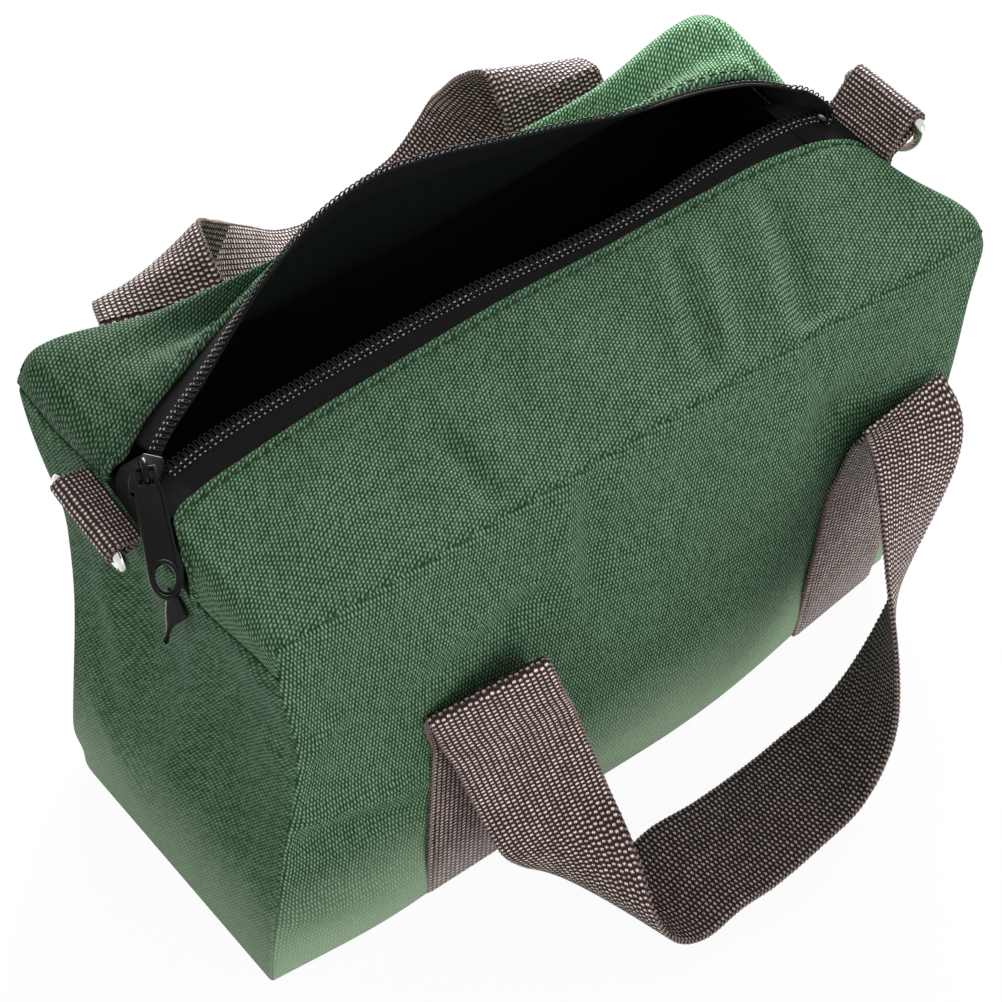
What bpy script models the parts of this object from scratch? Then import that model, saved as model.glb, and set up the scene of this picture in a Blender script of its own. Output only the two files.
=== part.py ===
"""Open canvas tool bag: sewn panels, open coil zip, two webbing handles, two D-rings on webbing tabs.

The origin lies on the floor, midway between the two ends and midway between the box's long sides.
X runs along the bag, Y from its front face to its rear face, Z up. Lengths are in metres.
The bag stands with its zip open: the rear lip is raised, the front handle hangs over the front face
and the rear handle flops backward.
"""
import math

import bmesh
import bpy
from mathutils import Matrix, Vector

# Driving sizes of the bag
bag_length = 0.270
bag_width = 0.125
bag_height = 0.165
canvas = 0.0012
fit_gap = 0.0003

# How the standing bag is bent out of a plain box
front_bow = 0.0045
front_left_out = 0.0020
front_right_in = 0.0070
rear_bow_in = 0.0045
rear_left_pull = 0.0165
right_end_bow = 0.0050
left_waist = 0.0042
left_foot_out = 0.0027
left_end_dent = 0.0030
flap_drop = 0.0145
fold_radius = 0.0050
trough_drop = 0.016
hump_rise = 0.0045

# Zip
tape_width = 0.0090
tape_thickness = 0.0008
seam_play = 0.0008
coil_width = 0.0030
coil_height = 0.0022
zip_line_y = 0.0050
lip_tilt = math.radians(34)
zip_start_inset = 0.0128
zip_end_inset = 0.0075
tail_width = 0.0130
tail_drop = 0.0290
tail_drift = 0.0180
stop_length = 0.0035
stop_width = 0.0080
stop_height = 0.0020

# Slider and pull
slider_inset = 0.0050
slider_length = 0.0120
slider_width = 0.0090
slider_height = 0.0040
slider_yaw = math.radians(38)
bridge_span = 0.0085
bridge_rise = 0.0034
bridge_width = 0.0020
bridge_bar = 0.0012
pull_yaw = math.radians(64)
pull_length = 0.0445
pull_width = 0.0090
pull_thickness = 0.0012
pull_slope = math.radians(4)
eye_length = 0.0046
eye_width = 0.0042
eye_bar = 0.0012
ring_hole_length = 0.0085
ring_hole_width = 0.0048
ring_rim = 0.0014

# Handles and their sewn strips
webbing_width = 0.040
webbing = 0.0015
front_strip_left_inset = 0.0755
front_strip_right_inset = 0.0300
front_crest_height = 0.1080
front_crest_stand = 0.0035
front_reach = 0.0783
rear_strip_left_inset = 0.0540
rear_strip_right_inset = 0.0505
rear_sewn_height = 0.1080
rear_crest_height = 0.1460
rear_crest_stand = 0.0250
rear_reach = 0.0664

# Ring tabs and D-rings
tab_webbing_width = 0.0280
left_tab_reach = 0.0072
left_tab_y = 0.0130
left_tab_height = 0.1540
left_tab_roll = math.radians(11)
left_tab_rise = math.radians(2)
left_ring_lean = math.radians(10)
right_tab_reach = 0.0138
right_tab_y = -0.0054
right_tab_height = 0.1640
right_tab_roll = math.radians(0)
right_tab_rise = math.radians(46)
right_tab_sewn = 0.0115
right_ring_lean = math.radians(0)
ring_wire = 0.0036
ring_depth = 0.0165
ring_side_play = 0.0005

# Shapes read off the bag, as shares of the sizes that they follow
waist_height_share = 0.72
front_turn_share = 0.10
rear_turn_share = 0.35
rear_pull_share = 0.28
flap_start_share = 0.88
strip_lean_share = 0.72
lip_straight_share = 0.60
lip_full_share = 0.24
trough_full_share = 0.15
trough_middle_share = 0.5
trough_back_share = 0.9
top_end_share = 0.95
crest_round_share = 0.65
crest_turn_share = 0.8
slider_edge_share = 0.86
shoulder_share = 0.92
ring_corner_share = 0.3
# Rear lip: place along the bag's length, place across its width
rear_lip_shares = [(-0.475, 0.054), (-0.435, 0.105), (-0.370, 0.167), (-0.306, 0.232), (-0.236, 0.296),
                   (-0.150, 0.350), (-0.068, 0.368), (0.010, 0.350), (0.090, 0.318), (0.172, 0.285),
                   (0.257, 0.248), (0.377, 0.202), (0.433, 0.152), (0.478, 0.072)]
front_lip_shares = [(-0.475, 0.054), (-0.397, 0.084), (-0.262, 0.100), (-0.100, 0.106), (0.096, 0.087),
                    (0.212, 0.079), (0.340, 0.088), (0.440, 0.078), (0.478, 0.040)]
# Handles, one row for each station: outer edge x, y, z and inner edge x, y, z. x is a share of the
# way from the left strip to the right strip, y of the handle's reach and z of its crest's height.
front_handle_shares = [
    (-0.125, 0.12, 0.775, 0.095, 0.26, 0.89), (-0.07, 0.12, 0.525, 0.15, 0.26, 0.675),
    (-0.055, 0.19, 0.41, 0.155, 0.345, 0.59), (-0.045, 0.31, 0.30, 0.14, 0.50, 0.525),
    (-0.01, 0.395, 0.20, 0.125, 0.69, 0.44), (0.06, 0.455, 0.10, 0.13, 0.85, 0.32),
    (0.14, 0.495, 0.04, 0.15, 0.955, 0.21), (0.23, 0.50, 0.04, 0.215, 1.0, 0.15),
    (0.38, 0.49, 0.11, 0.38, 1.0, 0.165), (0.61, 0.465, 0.175, 0.615, 0.975, 0.22),
    (0.755, 0.42, 0.26, 0.705, 0.895, 0.375), (0.89, 0.38, 0.425, 0.755, 0.725, 0.60),
    (1.0, 0.345, 0.62, 0.80, 0.515, 0.80), (1.08, 0.27, 0.84, 0.86, 0.27, 0.94)]
rear_handle_shares = [
    (0.015, 0.57, 0.865, 0.245, 0.53, 0.98), (0.07, 0.515, 0.80, 0.295, 0.605, 0.925),
    (0.13, 0.46, 0.735, 0.315, 0.76, 0.865), (0.195, 0.46, 0.67, 0.34, 0.89, 0.80),
    (0.265, 0.465, 0.625, 0.395, 0.945, 0.735), (0.345, 0.43, 0.605, 0.455, 0.98, 0.675),
    (0.43, 0.405, 0.595, 0.515, 0.995, 0.615), (0.595, 0.395, 0.60, 0.59, 0.995, 0.585),
    (0.76, 0.40, 0.62, 0.755, 1.0, 0.63), (0.92, 0.405, 0.665, 0.88, 0.98, 0.745),
    (0.99, 0.415, 0.72, 0.885, 0.91, 0.83), (1.04, 0.43, 0.79, 0.875, 0.79, 0.905),
    (1.06, 0.48, 0.90, 0.90, 0.60, 0.96)]

half_length = bag_length / 2
half_width = bag_width / 2
seam_height = bag_height - flap_drop
front_strip_left_x = -half_length + front_strip_left_inset
front_strip_right_x = half_length - front_strip_right_inset
rear_strip_left_x = -half_length + rear_strip_left_inset
rear_strip_right_x = half_length - rear_strip_right_inset


def smooth(share):
    share = min(max(share, 0.0), 1.0)
    return share * share * (3 - 2 * share)


def mix(a, b, share):
    return a + (b - a) * share


def spline(points, t):
    """A smooth curve through points of any size, with t from 0 at the first to 1 at the last."""
    spans = len(points) - 1
    i = min(int(t * spans), spans - 1)
    u = t * spans - i
    a, b, c, d = (points[min(max(i + k, 0), spans)] for k in (-1, 0, 1, 2))
    return tuple(0.5 * (2 * q + (r - p) * u + (2 * p - 5 * q + 4 * r - s) * u * u
                        + (3 * q - p - 3 * r + s) * u ** 3) for p, q, r, s in zip(a, b, c, d))


def end_bow(z):
    """How far the right end stands out of the plain box at a height."""
    share = z / bag_height
    return right_end_bow * 4 * share * (1 - share)


def side_x(side, z):
    """Where the bag's end stands at a height. The left end has a waist and a spread foot."""
    if side > 0:
        return half_length + end_bow(z)
    share = z / seam_height
    waist = smooth(share / waist_height_share) * smooth((1 - share) / (1 - waist_height_share))
    return -half_length + left_waist * waist - left_foot_out * (1 - z / bag_height) ** 2


def along_face(x, z):
    """Where x lies along the long sides at a height, from -1 at the left end to 1 at the right."""
    left = side_x(-1, z)
    return min(max(2 * (x - left) / (side_x(1, z) - left) - 1, -1.0), 1.0)


def front_y(x, z):
    along = along_face(x, z)
    low = 1 - z / bag_height
    out = front_bow * (1 - along * along) + front_left_out * smooth(-along)
    drawn_in = front_right_in * smooth((along - front_turn_share) / (1 - front_turn_share))
    return -half_width - out * low + drawn_in * low * low


def rear_y(x, z):
    along = along_face(x, z)
    top = rear_bow_in * (1 - along * along) * z / bag_height
    left = smooth((-along - rear_turn_share) / (1 - rear_turn_share))
    left *= smooth((bag_height - z) / (rear_pull_share * bag_height))
    return half_width - top - rear_left_pull * left


def material(name, colour, roughness, metallic=0.0):
    made = bpy.data.materials.new(name)
    made.use_nodes = True
    shader = made.node_tree.nodes["Principled BSDF"]
    shader.inputs["Base Color"].default_value = (*colour, 1.0)
    shader.inputs["Roughness"].default_value = roughness
    shader.inputs["Metallic"].default_value = metallic
    return made


def green_canvas(name):
    return material(name, (0.035, 0.125, 0.055), 0.92)


def brown_webbing(name):
    return material(name, (0.150, 0.100, 0.085), 0.85)


def black_tape(name):
    return material(name, (0.010, 0.010, 0.012), 0.80)


def black_nylon(name):
    return material(name, (0.012, 0.012, 0.014), 0.35)


def black_enamel(name):
    return material(name, (0.010, 0.010, 0.011), 0.25, 0.3)


def nickel(name):
    return material(name, (0.720, 0.700, 0.670), 0.18, 1.0)


def place(name, mesh_data, finish, origin=(0, 0, 0)):
    """Makes the named object, with its origin moved to the given point and its faces facing out."""
    work = bmesh.new()
    work.from_mesh(mesh_data)
    bmesh.ops.recalc_face_normals(work, faces=work.faces[:])
    bmesh.ops.translate(work, verts=work.verts[:], vec=-Vector(origin))
    work.to_mesh(mesh_data)
    work.free()
    made = bpy.data.objects.new(name, mesh_data)
    made.location = origin
    mesh_data.materials.append(finish(name))
    bpy.context.collection.objects.link(made)
    return made


def shell(name, outer, inner, finish, origin=(0, 0, 0)):
    """A thin closed solid between two grids of points of the same size."""
    rows = len(outer)
    columns = len(outer[0])
    verts = [p for row in outer for p in row] + [p for row in inner for p in row]
    layer = rows * columns

    def at(i, j, k):
        return k * layer + i * columns + j

    faces = []
    for i in range(rows - 1):
        for j in range(columns - 1):
            faces.append((at(i, j, 0), at(i, j + 1, 0), at(i + 1, j + 1, 0), at(i + 1, j, 0)))
            faces.append((at(i, j, 1), at(i + 1, j, 1), at(i + 1, j + 1, 1), at(i, j + 1, 1)))
    for i in range(rows - 1):
        for j in (0, columns - 1):
            faces.append((at(i, j, 0), at(i + 1, j, 0), at(i + 1, j, 1), at(i, j, 1)))
    for j in range(columns - 1):
        for i in (0, rows - 1):
            faces.append((at(i, j, 0), at(i, j + 1, 0), at(i, j + 1, 1), at(i, j, 1)))
    data = bpy.data.meshes.new(name)
    data.from_pydata(verts, [], faces)
    return place(name, data, finish, origin)


def grid(surface, rows, columns):
    return [[Vector(surface(i / rows, j / columns)) for j in range(columns + 1)] for i in range(rows + 1)]


def shifted(points, move):
    return [[p + Vector(move) for p in row] for row in points]


def ribbon(name, centres, sides, width, thickness, finish, origin=(0, 0, 0), across=2):
    """A strip along centre points. sides are the directions across it at each point."""
    count = len(centres)
    upper = []
    lower = []
    for i in range(count):
        ahead = centres[min(i + 1, count - 1)] - centres[max(i - 1, 0)]
        side = sides[i].normalized()
        normal = ahead.cross(side).normalized()
        row = [centres[i] + side * width * (j / across - 0.5) for j in range(across + 1)]
        upper.append([p + normal * thickness / 2 for p in row])
        lower.append([p - normal * thickness / 2 for p in row])
    return shell(name, upper, lower, finish, origin)


def tube(name, sections, finish, origin=(0, 0, 0), closed=False):
    """A rod through the rings of points in sections."""
    count = len(sections)
    ring = len(sections[0])
    verts = [p for section in sections for p in section]
    faces = []
    for i in range(count if closed else count - 1):
        for j in range(ring):
            a, b = i * ring, (i + 1) % count * ring
            faces.append((a + j, a + (j + 1) % ring, b + (j + 1) % ring, b + j))
    if not closed:
        faces.append(tuple(range(ring)))
        faces.append(tuple(range((count - 1) * ring, count * ring)))
    data = bpy.data.meshes.new(name)
    data.from_pydata(verts, [], faces)
    return place(name, data, finish, origin)


def plate(name, outline, holes, thickness, frame, finish, origin):
    """A flat plate with holes. outline and holes are loops of (u, v), which frame turns into points."""
    work = bmesh.new()
    edges = []
    for loop in [outline] + holes:
        ring = [work.verts.new((u, v, 0)) for u, v in loop]
        edges += [work.edges.new((ring[i - 1], ring[i])) for i in range(len(ring))]
    bmesh.ops.triangle_fill(work, edges=edges, use_beauty=True, normal=(0, 0, 1))
    top = bmesh.ops.extrude_face_region(work, geom=work.faces[:])
    moved = [v for v in top["geom"] if isinstance(v, bmesh.types.BMVert)]
    bmesh.ops.translate(work, verts=moved, vec=(0, 0, thickness))
    bmesh.ops.translate(work, verts=work.verts[:], vec=(0, 0, -thickness / 2))
    bmesh.ops.transform(work, matrix=frame, verts=work.verts[:])
    data = bpy.data.meshes.new(name)
    work.to_mesh(data)
    work.free()
    return place(name, data, finish, origin)


def oval(centre_v, width, length, sides=16):
    return [(width / 2 * math.cos(2 * math.pi * k / sides),
             centre_v + length / 2 * math.sin(2 * math.pi * k / sides)) for k in range(sides)]


def make_sides_and_bottom():
    low = canvas + fit_gap
    levels = [mix(low, seam_height - fit_gap, k / 7) for k in range(8)]

    for name, across, move in (("front_panel", front_y, canvas), ("rear_panel", rear_y, -canvas)):
        face = []
        top = bag_height - canvas - fit_gap
        for z in levels + [(levels[-1] + top) / 2, top]:
            row = [mix(side_x(-1, z), side_x(1, z), k / 14) for k in range(15)]
            face.append([Vector((x, across(x, z), z)) for x in row])
        shell(name, face, shifted(face, (0, move, 0)), green_canvas)

    for name, side in (("left_end_panel", -1), ("right_end_panel", 1)):
        face = []
        for z in levels:
            x = side_x(side, z)
            inset = canvas + fit_gap
            dent = left_end_dent * math.sin(math.pi * z / seam_height) if side < 0 else 0
            face.append([Vector((x + dent * math.sin(math.pi * k / 6),
                                 mix(front_y(x, z) + inset, rear_y(x, z) - inset, k / 6), z)) for k in range(7)])
        shell(name, face, shifted(face, (-side * canvas, 0, 0)), green_canvas)

    def bottom(u, v):
        x = mix(side_x(-1, 0), side_x(1, 0), u)
        return x, mix(front_y(x, 0), rear_y(x, 0), v), 0

    face = grid(bottom, 14, 4)
    shell("bottom_panel", face, shifted(face, (0, 0, canvas)), green_canvas)


def along_top(s):
    """A point of the panels' path over the top, and its outward direction. s runs from -1 to 1."""
    side = -1 if s < 0 else 1
    arc = fold_radius * math.pi / 2
    flat = half_length - fold_radius
    length = flat + arc + flap_drop - fold_radius
    d = abs(s) * length
    if d <= flat:
        return Vector((side * d, 0, bag_height)), Vector((0, 0, 1))
    if d <= flat + arc:
        turn = (d - flat) / fold_radius
        out = Vector((side * math.sin(turn), 0, math.cos(turn)))
        return Vector((side * flat, 0, bag_height - fold_radius)) + out * fold_radius, out
    z = bag_height - fold_radius - (d - flat - arc)
    return Vector((side * half_length, 0, z)), Vector((side, 0, 0))


def lip(shares, x):
    """The lip's place across the bag at x, read from its table of shares."""
    table = [(a * bag_length, b * bag_width) for a, b in shares]
    x = min(max(x, table[0][0]), table[-1][0])
    for (x0, y0), (x1, y1) in zip(table, table[1:]):
        if x <= x1:
            share = (x - x0) / (x1 - x0)
            return mix(y0, y1, mix(smooth(share), share, lip_straight_share))
    return table[-1][1]


def rear_lip_point(x):
    y = lip(rear_lip_shares, x)
    return Vector((x, y, bag_height + (y - zip_line_y) * math.tan(lip_tilt)))


def rear_tape_side(x):
    """Direction from the rear lip's coil to the canvas edge: flat at the ends, steep in the middle."""
    raised = (rear_lip_point(x).z - bag_height) / (bag_width * lip_full_share)
    turn = math.radians(-12) - math.radians(55) * smooth(raised)
    return Vector((0, math.cos(turn), math.sin(turn)))


def front_lip_point(x):
    return Vector((x, lip(front_lip_shares, x), bag_height))


top_steps = [-1, -0.96, -0.925, -0.905, -0.885, -0.86] + [k / 10 for k in range(-8, 9)]
top_steps += [0.86, 0.885, 0.905, 0.925, 0.96, 1]


def make_top_panels():
    outer = []
    inner = []
    for s in top_steps:
        spot, out = along_top(s)
        on_top = abs(s) <= flap_start_share
        start_y = front_y(spot.x, bag_height) if on_top else -half_width + canvas + fit_gap
        edge_y = lip(front_lip_shares, spot.x) - tape_width - fit_gap - coil_width / 2
        row = [Vector((spot.x, mix(start_y, edge_y, j / 4), spot.z)) for j in range(5)]
        outer.append(row)
        inner.append([p - out * canvas for p in row])
    shell("top_panel_front", outer, inner, green_canvas)

    outer = []
    for s in top_steps:
        spot, out = along_top(s)
        on_top = abs(s) <= flap_start_share
        x = min(max(spot.x, -half_length * top_end_share), half_length * top_end_share)
        tip = rear_lip_point(x) + rear_tape_side(x) * (tape_width + fit_gap + coil_width / 2)
        raised = smooth((tip.z - bag_height) / (bag_width * trough_full_share)) if on_top else 0
        rise = max(tip.z - bag_height, 0) if on_top else 0
        start_y = rear_y(spot.x, spot.z) - (0 if on_top else canvas + 2 * fit_gap)
        shoulder = start_y - 2 * canvas
        hump = hump_rise if on_top else 0
        flat = [(mix(start_y, tip.y, k / 4), spot.z + hump * math.sin(math.pi * k / 4) + rise * k / 4)
                for k in range(5)]
        deep = [flat[0], (shoulder, spot.z - canvas),
                (mix(shoulder, tip.y, trough_middle_share), spot.z - trough_drop),
                (mix(shoulder, tip.y, trough_back_share), spot.z), flat[4]]
        bends = [tuple(mix(p, q, raised) for p, q in zip(a, b)) for a, b in zip(flat, deep)]
        outer.append([Vector((spot.x, *spline(bends, k / 12))) for k in range(13)])
    inner = []
    for s, row in zip(top_steps, outer):
        spot, out = along_top(s)
        thin = []
        for j, p in enumerate(row):
            run = row[min(j + 1, 12)] - row[max(j - 1, 0)]
            normal = Vector((0, run.z, -run.y)).normalized() if abs(s) <= flap_start_share else out
            thin.append(p - normal * canvas)
        inner.append(thin)
    shell("top_panel_rear", outer, inner, green_canvas)


def coil_section(spot, side, up):
    """Six points round the coil's flattened cross-section."""
    return [spot + side * coil_width / 2 * math.cos(math.pi * k / 3)
            + up * coil_height / 2 * math.sin(math.pi * k / 3) for k in range(6)]


def make_zip():
    start = -half_length + zip_start_inset
    end = half_length - zip_end_inset
    places = [mix(start, end, k / 26) for k in range(27)]
    for name, rear in (("front", False), ("rear", True)):
        tape_outer = []
        tape_inner = []
        sections = []
        for x in places:
            spot = rear_lip_point(x) if rear else front_lip_point(x) - Vector((0, 0, tape_thickness / 2))
            side = rear_tape_side(x) if rear else Vector((0, -1, 0))
            up = Vector((0, -side.z, side.y)) * (1 if rear else -1)
            near = spot + side * (coil_width / 2 + fit_gap)
            far = near + side * (tape_width - seam_play)
            tape_outer.append([near + up * tape_thickness / 2, far + up * tape_thickness / 2])
            tape_inner.append([near - up * tape_thickness / 2, far - up * tape_thickness / 2])
            sections.append(coil_section(spot, side, up))
        shell("zip_tape_" + name, tape_outer, tape_inner, black_tape)
        tube("zip_coil_" + name, sections, black_nylon)


def yawed(turn):
    """Forward and sideways directions on the level, with forward turned from -X toward -Y."""
    return Vector((-math.cos(turn), -math.sin(turn), 0)), Vector((math.sin(turn), -math.cos(turn), 0))


slider_spot = Vector((-half_length + slider_inset, zip_line_y, bag_height + tape_thickness + 2 * fit_gap))


def make_slider():
    ahead, across = yawed(slider_yaw)
    outline_shares = [(0.5, 0.28), (0.5, -0.28), (0.25, -0.45), (-0.15, -0.5), (-0.5, -0.36),
                      (-0.5, 0.36), (-0.15, 0.5), (0.25, 0.45)]
    base = []
    level_shares = [(0, slider_edge_share), (0.25, 1), (0.75, 1), (1, slider_edge_share)]
    for level, grow in level_shares:
        base.append([slider_spot + (ahead * a * slider_length + across * b * slider_width) * grow
                     + Vector((0, 0, level * slider_height)) for a, b in outline_shares])
    tube("slider_body", base, black_enamel, slider_spot)

    ahead, across = yawed(pull_yaw)
    floor = slider_spot + Vector((0, 0, slider_height + fit_gap))
    sections = []
    for k in range(13):
        turn = math.pi * k / 12
        hub = floor + ahead * bridge_span / 2 * math.cos(turn)
        out = Vector((0, 0, 1)) * math.sin(turn) + ahead * math.cos(turn)
        low = hub + Vector((0, 0, bridge_rise * math.sin(turn)))
        wide = across * bridge_width / 2
        sections.append([low - wide, low + wide, low + wide + out * bridge_bar, low - wide + out * bridge_bar])
    tube("slider_bridge", sections, black_enamel, slider_spot)


def pull_frame():
    """The pull's own axes in the bag's frame: u across, v along from its hinge, w out of its face."""
    ahead, across = yawed(pull_yaw)
    ahead = (ahead * math.cos(pull_slope) - Vector((0, 0, math.sin(pull_slope)))).normalized()
    out = across.cross(ahead)
    if out.z < 0:
        out = -out
    frame = Matrix((across, ahead, out)).transposed().to_4x4()
    pivot = slider_spot + Vector((0, 0, slider_height + bridge_rise - eye_bar / 2))
    return Matrix.Translation(pivot) @ frame, pivot


def make_pull():
    frame, pivot = pull_frame()
    neck = eye_width / 2 + eye_bar
    wide = pull_width / 2
    long = pull_length
    bow = ring_hole_length / 2 + ring_rim
    outline = [(-neck, -eye_bar / 2), (neck, -eye_bar / 2), (neck, eye_length),
               (wide * shoulder_share, eye_length * 2), (wide, long - 2 * bow)]
    outline += [(wide * math.cos(math.pi * k / 10), long - bow + bow * math.sin(math.pi * k / 10))
                for k in range(11)]
    outline += [(-wide, long - 2 * bow), (-wide * shoulder_share, eye_length * 2), (-neck, eye_length)]
    eye = [(-eye_width / 2, eye_bar / 2), (eye_width / 2, eye_bar / 2),
           (eye_width / 2, eye_length + eye_bar), (-eye_width / 2, eye_length + eye_bar)]
    hole = oval(long - bow, ring_hole_width, ring_hole_length)
    plate("zip_pull", outline, [eye, hole], pull_thickness, frame, black_enamel, pivot)


def make_tail_and_stop():
    """The closed end of the zip lies over the left flap. A bar closes the right end."""
    out = fit_gap + tape_thickness / 2
    edge = half_length - fold_radius
    centres = [Vector((-half_length + zip_start_inset - fit_gap, zip_line_y, bag_height + out))]
    centres += [Vector((-edge - (fold_radius + out) * math.sin(turn), zip_line_y,
                        bag_height - fold_radius + (fold_radius + out) * math.cos(turn)))
                for turn in (math.pi / 2 * k / 4 for k in range(5))]
    last = centres[-1]
    centres += [last + Vector((0, -tail_drift * share * share, -tail_drop * share))
                for share in (0.15, 0.3, 0.5, 0.75, 1)]
    ribbon("zip_tail", centres, [Vector((0, 1, 0))] * len(centres), tail_width, tape_thickness, black_tape)

    spot = Vector((half_length - zip_end_inset + fit_gap + stop_length / 2, zip_line_y, bag_height + fit_gap))
    sections = [[spot + Vector((stop_length / 2 * a, stop_width / 2 * b, z)) for a, b in
                 ((-1, -1), (1, -1), (1, 1), (-1, 1))] for z in (0, stop_height)]
    tube("zip_end_stop", sections, black_nylon)


def front_hinge():
    """The line about which the front handle lifts: the strips' outer top edge."""
    y = -half_width - front_crest_stand - fit_gap - webbing
    return Vector((0, y, front_crest_height))


def rear_hinge():
    return Vector((0, half_width + rear_crest_stand, rear_crest_height))


def make_front_strips():
    hinge = front_hinge()
    for name, middle in (("front_strip_left", front_strip_left_x), ("front_strip_right", front_strip_right_x)):
        def surface(u, v, middle=middle):
            z = mix(canvas + 2 * fit_gap, hinge.z, v)
            x = middle + webbing_width * (u - 0.5)
            lean = smooth((v - strip_lean_share) / (1 - strip_lean_share))
            return x, mix(front_y(x, z) - fit_gap, hinge.y + webbing, lean), z
        face = grid(surface, 4, 12)
        shell(name, face, shifted(face, (0, -webbing, 0)), brown_webbing)


def make_rear_strips():
    hinge = rear_hinge()
    for name, middle in (("rear_strip_left", rear_strip_left_x), ("rear_strip_right", rear_strip_right_x)):
        outer = []
        inner = []
        sewn = 10
        free = 8
        for k in range(sewn + free + 1):
            row = []
            if k <= sewn:
                z = mix(canvas + 2 * fit_gap, rear_sewn_height, k / sewn)
                normal = Vector((0, 1, 0))
            else:
                turn = math.radians(62) * (k - sewn) / free
                z = rear_sewn_height
                normal = Vector((0, math.cos(turn * crest_turn_share), -math.sin(turn * crest_turn_share)))
            for u in (-0.5, 0, 0.5):
                x = middle + webbing_width * u
                y = rear_y(x, z) + fit_gap
                if k > sewn:
                    share = (k - sewn) / free
                    end = hinge - normal * webbing
                    y = mix(y, end.y, 1 - math.cos(math.pi / 2 * share))
                    up = mix(rear_sewn_height, end.z, mix(math.sin(math.pi / 2 * share), share, crest_round_share))
                    row.append(Vector((x, y, up)))
                else:
                    row.append(Vector((x, y, z)))
            outer.append(row)
            inner.append([p + normal * webbing for p in row])
        shell(name, outer, inner, brown_webbing)


def make_handle(name, shares, left, right, face_y, reach, height, hinge, start_dir):
    """A free webbing loop between two points of its hinge line."""
    rows = [(mix(left, right, a), face_y + reach * b, height * c, mix(left, right, d), face_y + reach * e,
             height * f) for a, b, c, d, e, f in shares]
    gap = start_dir * (fit_gap + webbing / 2)
    half = webbing_width / 2
    first = hinge + Vector((left, 0, 0)) + gap
    last = hinge + Vector((right, 0, 0)) + gap
    ends = [(first.x - half, first.y, first.z, first.x + half, first.y, first.z),
            (last.x + half, last.y, last.z, last.x - half, last.y, last.z)]
    rows = [ends[0]] + rows + [ends[1]]
    centres = []
    sides = []
    steps = 3 * (len(rows) - 1)
    for k in range(steps + 1):
        row = spline(rows, k / steps)
        outer = Vector(row[:3])
        inner = Vector(row[3:])
        centres.append((outer + inner) / 2)
        sides.append(inner - outer)
    ribbon(name, centres, sides, webbing_width, webbing, brown_webbing, hinge)


def tab_frame(side, y, height, roll, rise):
    """Origin at the tab's root on the end seam, its direction outward and its direction across."""
    across = Vector((0, math.cos(roll), math.sin(roll)))
    out = Vector((side * math.cos(rise), 0, math.sin(rise)))
    out = (out - across * out.dot(across)).normalized()
    face = side * half_length if side < 0 else half_length + end_bow(height)
    return Vector((face + side * (fit_gap + webbing), y, height)), out, across


def make_tab_and_ring(name, side, y, height, roll, rise, reach, lean, sewn=0):
    """A folded tab with its D-ring, which leans toward the bag. sewn is what lies flat below the root."""
    root, out, across = tab_frame(side, y, height, roll, rise)
    up = across.cross(out) * -side
    if up.z < 0:
        up = -up
    bend = ring_wire / 2 + fit_gap + webbing / 2
    bar = root + out * reach
    layer = webbing / 2 + fit_gap / 2
    middle = (layer + bend) / 2
    centres = [root + up * layer, root + up * middle + out * reach / 2]
    centres += [bar + up * bend * math.cos(math.pi * k / 6) + out * bend * math.sin(math.pi * k / 6)
                for k in range(7)]
    centres += [root - up * middle + out * reach / 2, root - up * layer]
    if sewn:
        low = root - Vector((0, 0, sewn))
        beside = Vector((side * layer, 0, 0))
        centres = [low - beside] + centres + [low + beside]
    ribbon("ring_tab_" + name, centres, [across] * len(centres), tab_webbing_width, webbing, brown_webbing)

    half = tab_webbing_width / 2 + ring_side_play + ring_wire / 2
    down = Vector((-side * math.tan(lean), 0, -1))
    down = (down - across * down.dot(across)).normalized()
    corner = half - tab_webbing_width / 2
    turn = corner * ring_corner_share
    path = [(-half + corner, 0), (0, 0), (half - corner, 0), (half - turn, turn)]
    path += [(half * math.cos(math.pi * k / 10), corner + (ring_depth - corner) * math.sin(math.pi * k / 10))
             for k in range(11)]
    path += [(-half + turn, turn)]
    flat = [bar + across * a + down * b for a, b in path]
    face = across.cross(down)
    sections = []
    for i, spot in enumerate(flat):
        ahead = (flat[(i + 1) % len(flat)] - flat[i - 1]).normalized()
        beside = ahead.cross(face)
        sections.append([spot + (beside * math.cos(math.pi * k / 4) + face * math.sin(math.pi * k / 4))
                         * ring_wire / 2 for k in range(8)])
    tube("d_ring_" + name, sections, nickel, bar, closed=True)


def build():
    for old in list(bpy.data.objects):
        bpy.data.objects.remove(old, do_unlink=True)
    make_sides_and_bottom()
    make_top_panels()
    make_zip()
    make_slider()
    make_pull()
    make_tail_and_stop()
    make_front_strips()
    make_rear_strips()
    make_handle("handle_front", front_handle_shares, front_strip_left_x, front_strip_right_x,
                -half_width, -front_reach, front_crest_height, front_hinge(), Vector((0, -1, 0)))
    make_handle("handle_rear", rear_handle_shares, rear_strip_left_x, rear_strip_right_x,
                half_width, rear_reach, rear_crest_height, rear_hinge(), Vector((0, 1, 0)))
    make_tab_and_ring("left", -1, left_tab_y, left_tab_height, left_tab_roll, left_tab_rise,
                      left_tab_reach, left_ring_lean)
    make_tab_and_ring("right", 1, right_tab_y, right_tab_height, right_tab_roll, right_tab_rise,
                      right_tab_reach, right_ring_lean, right_tab_sewn)


build()
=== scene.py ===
import math

import bmesh
import bpy
import numpy as np
from mathutils import Matrix, Vector


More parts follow.
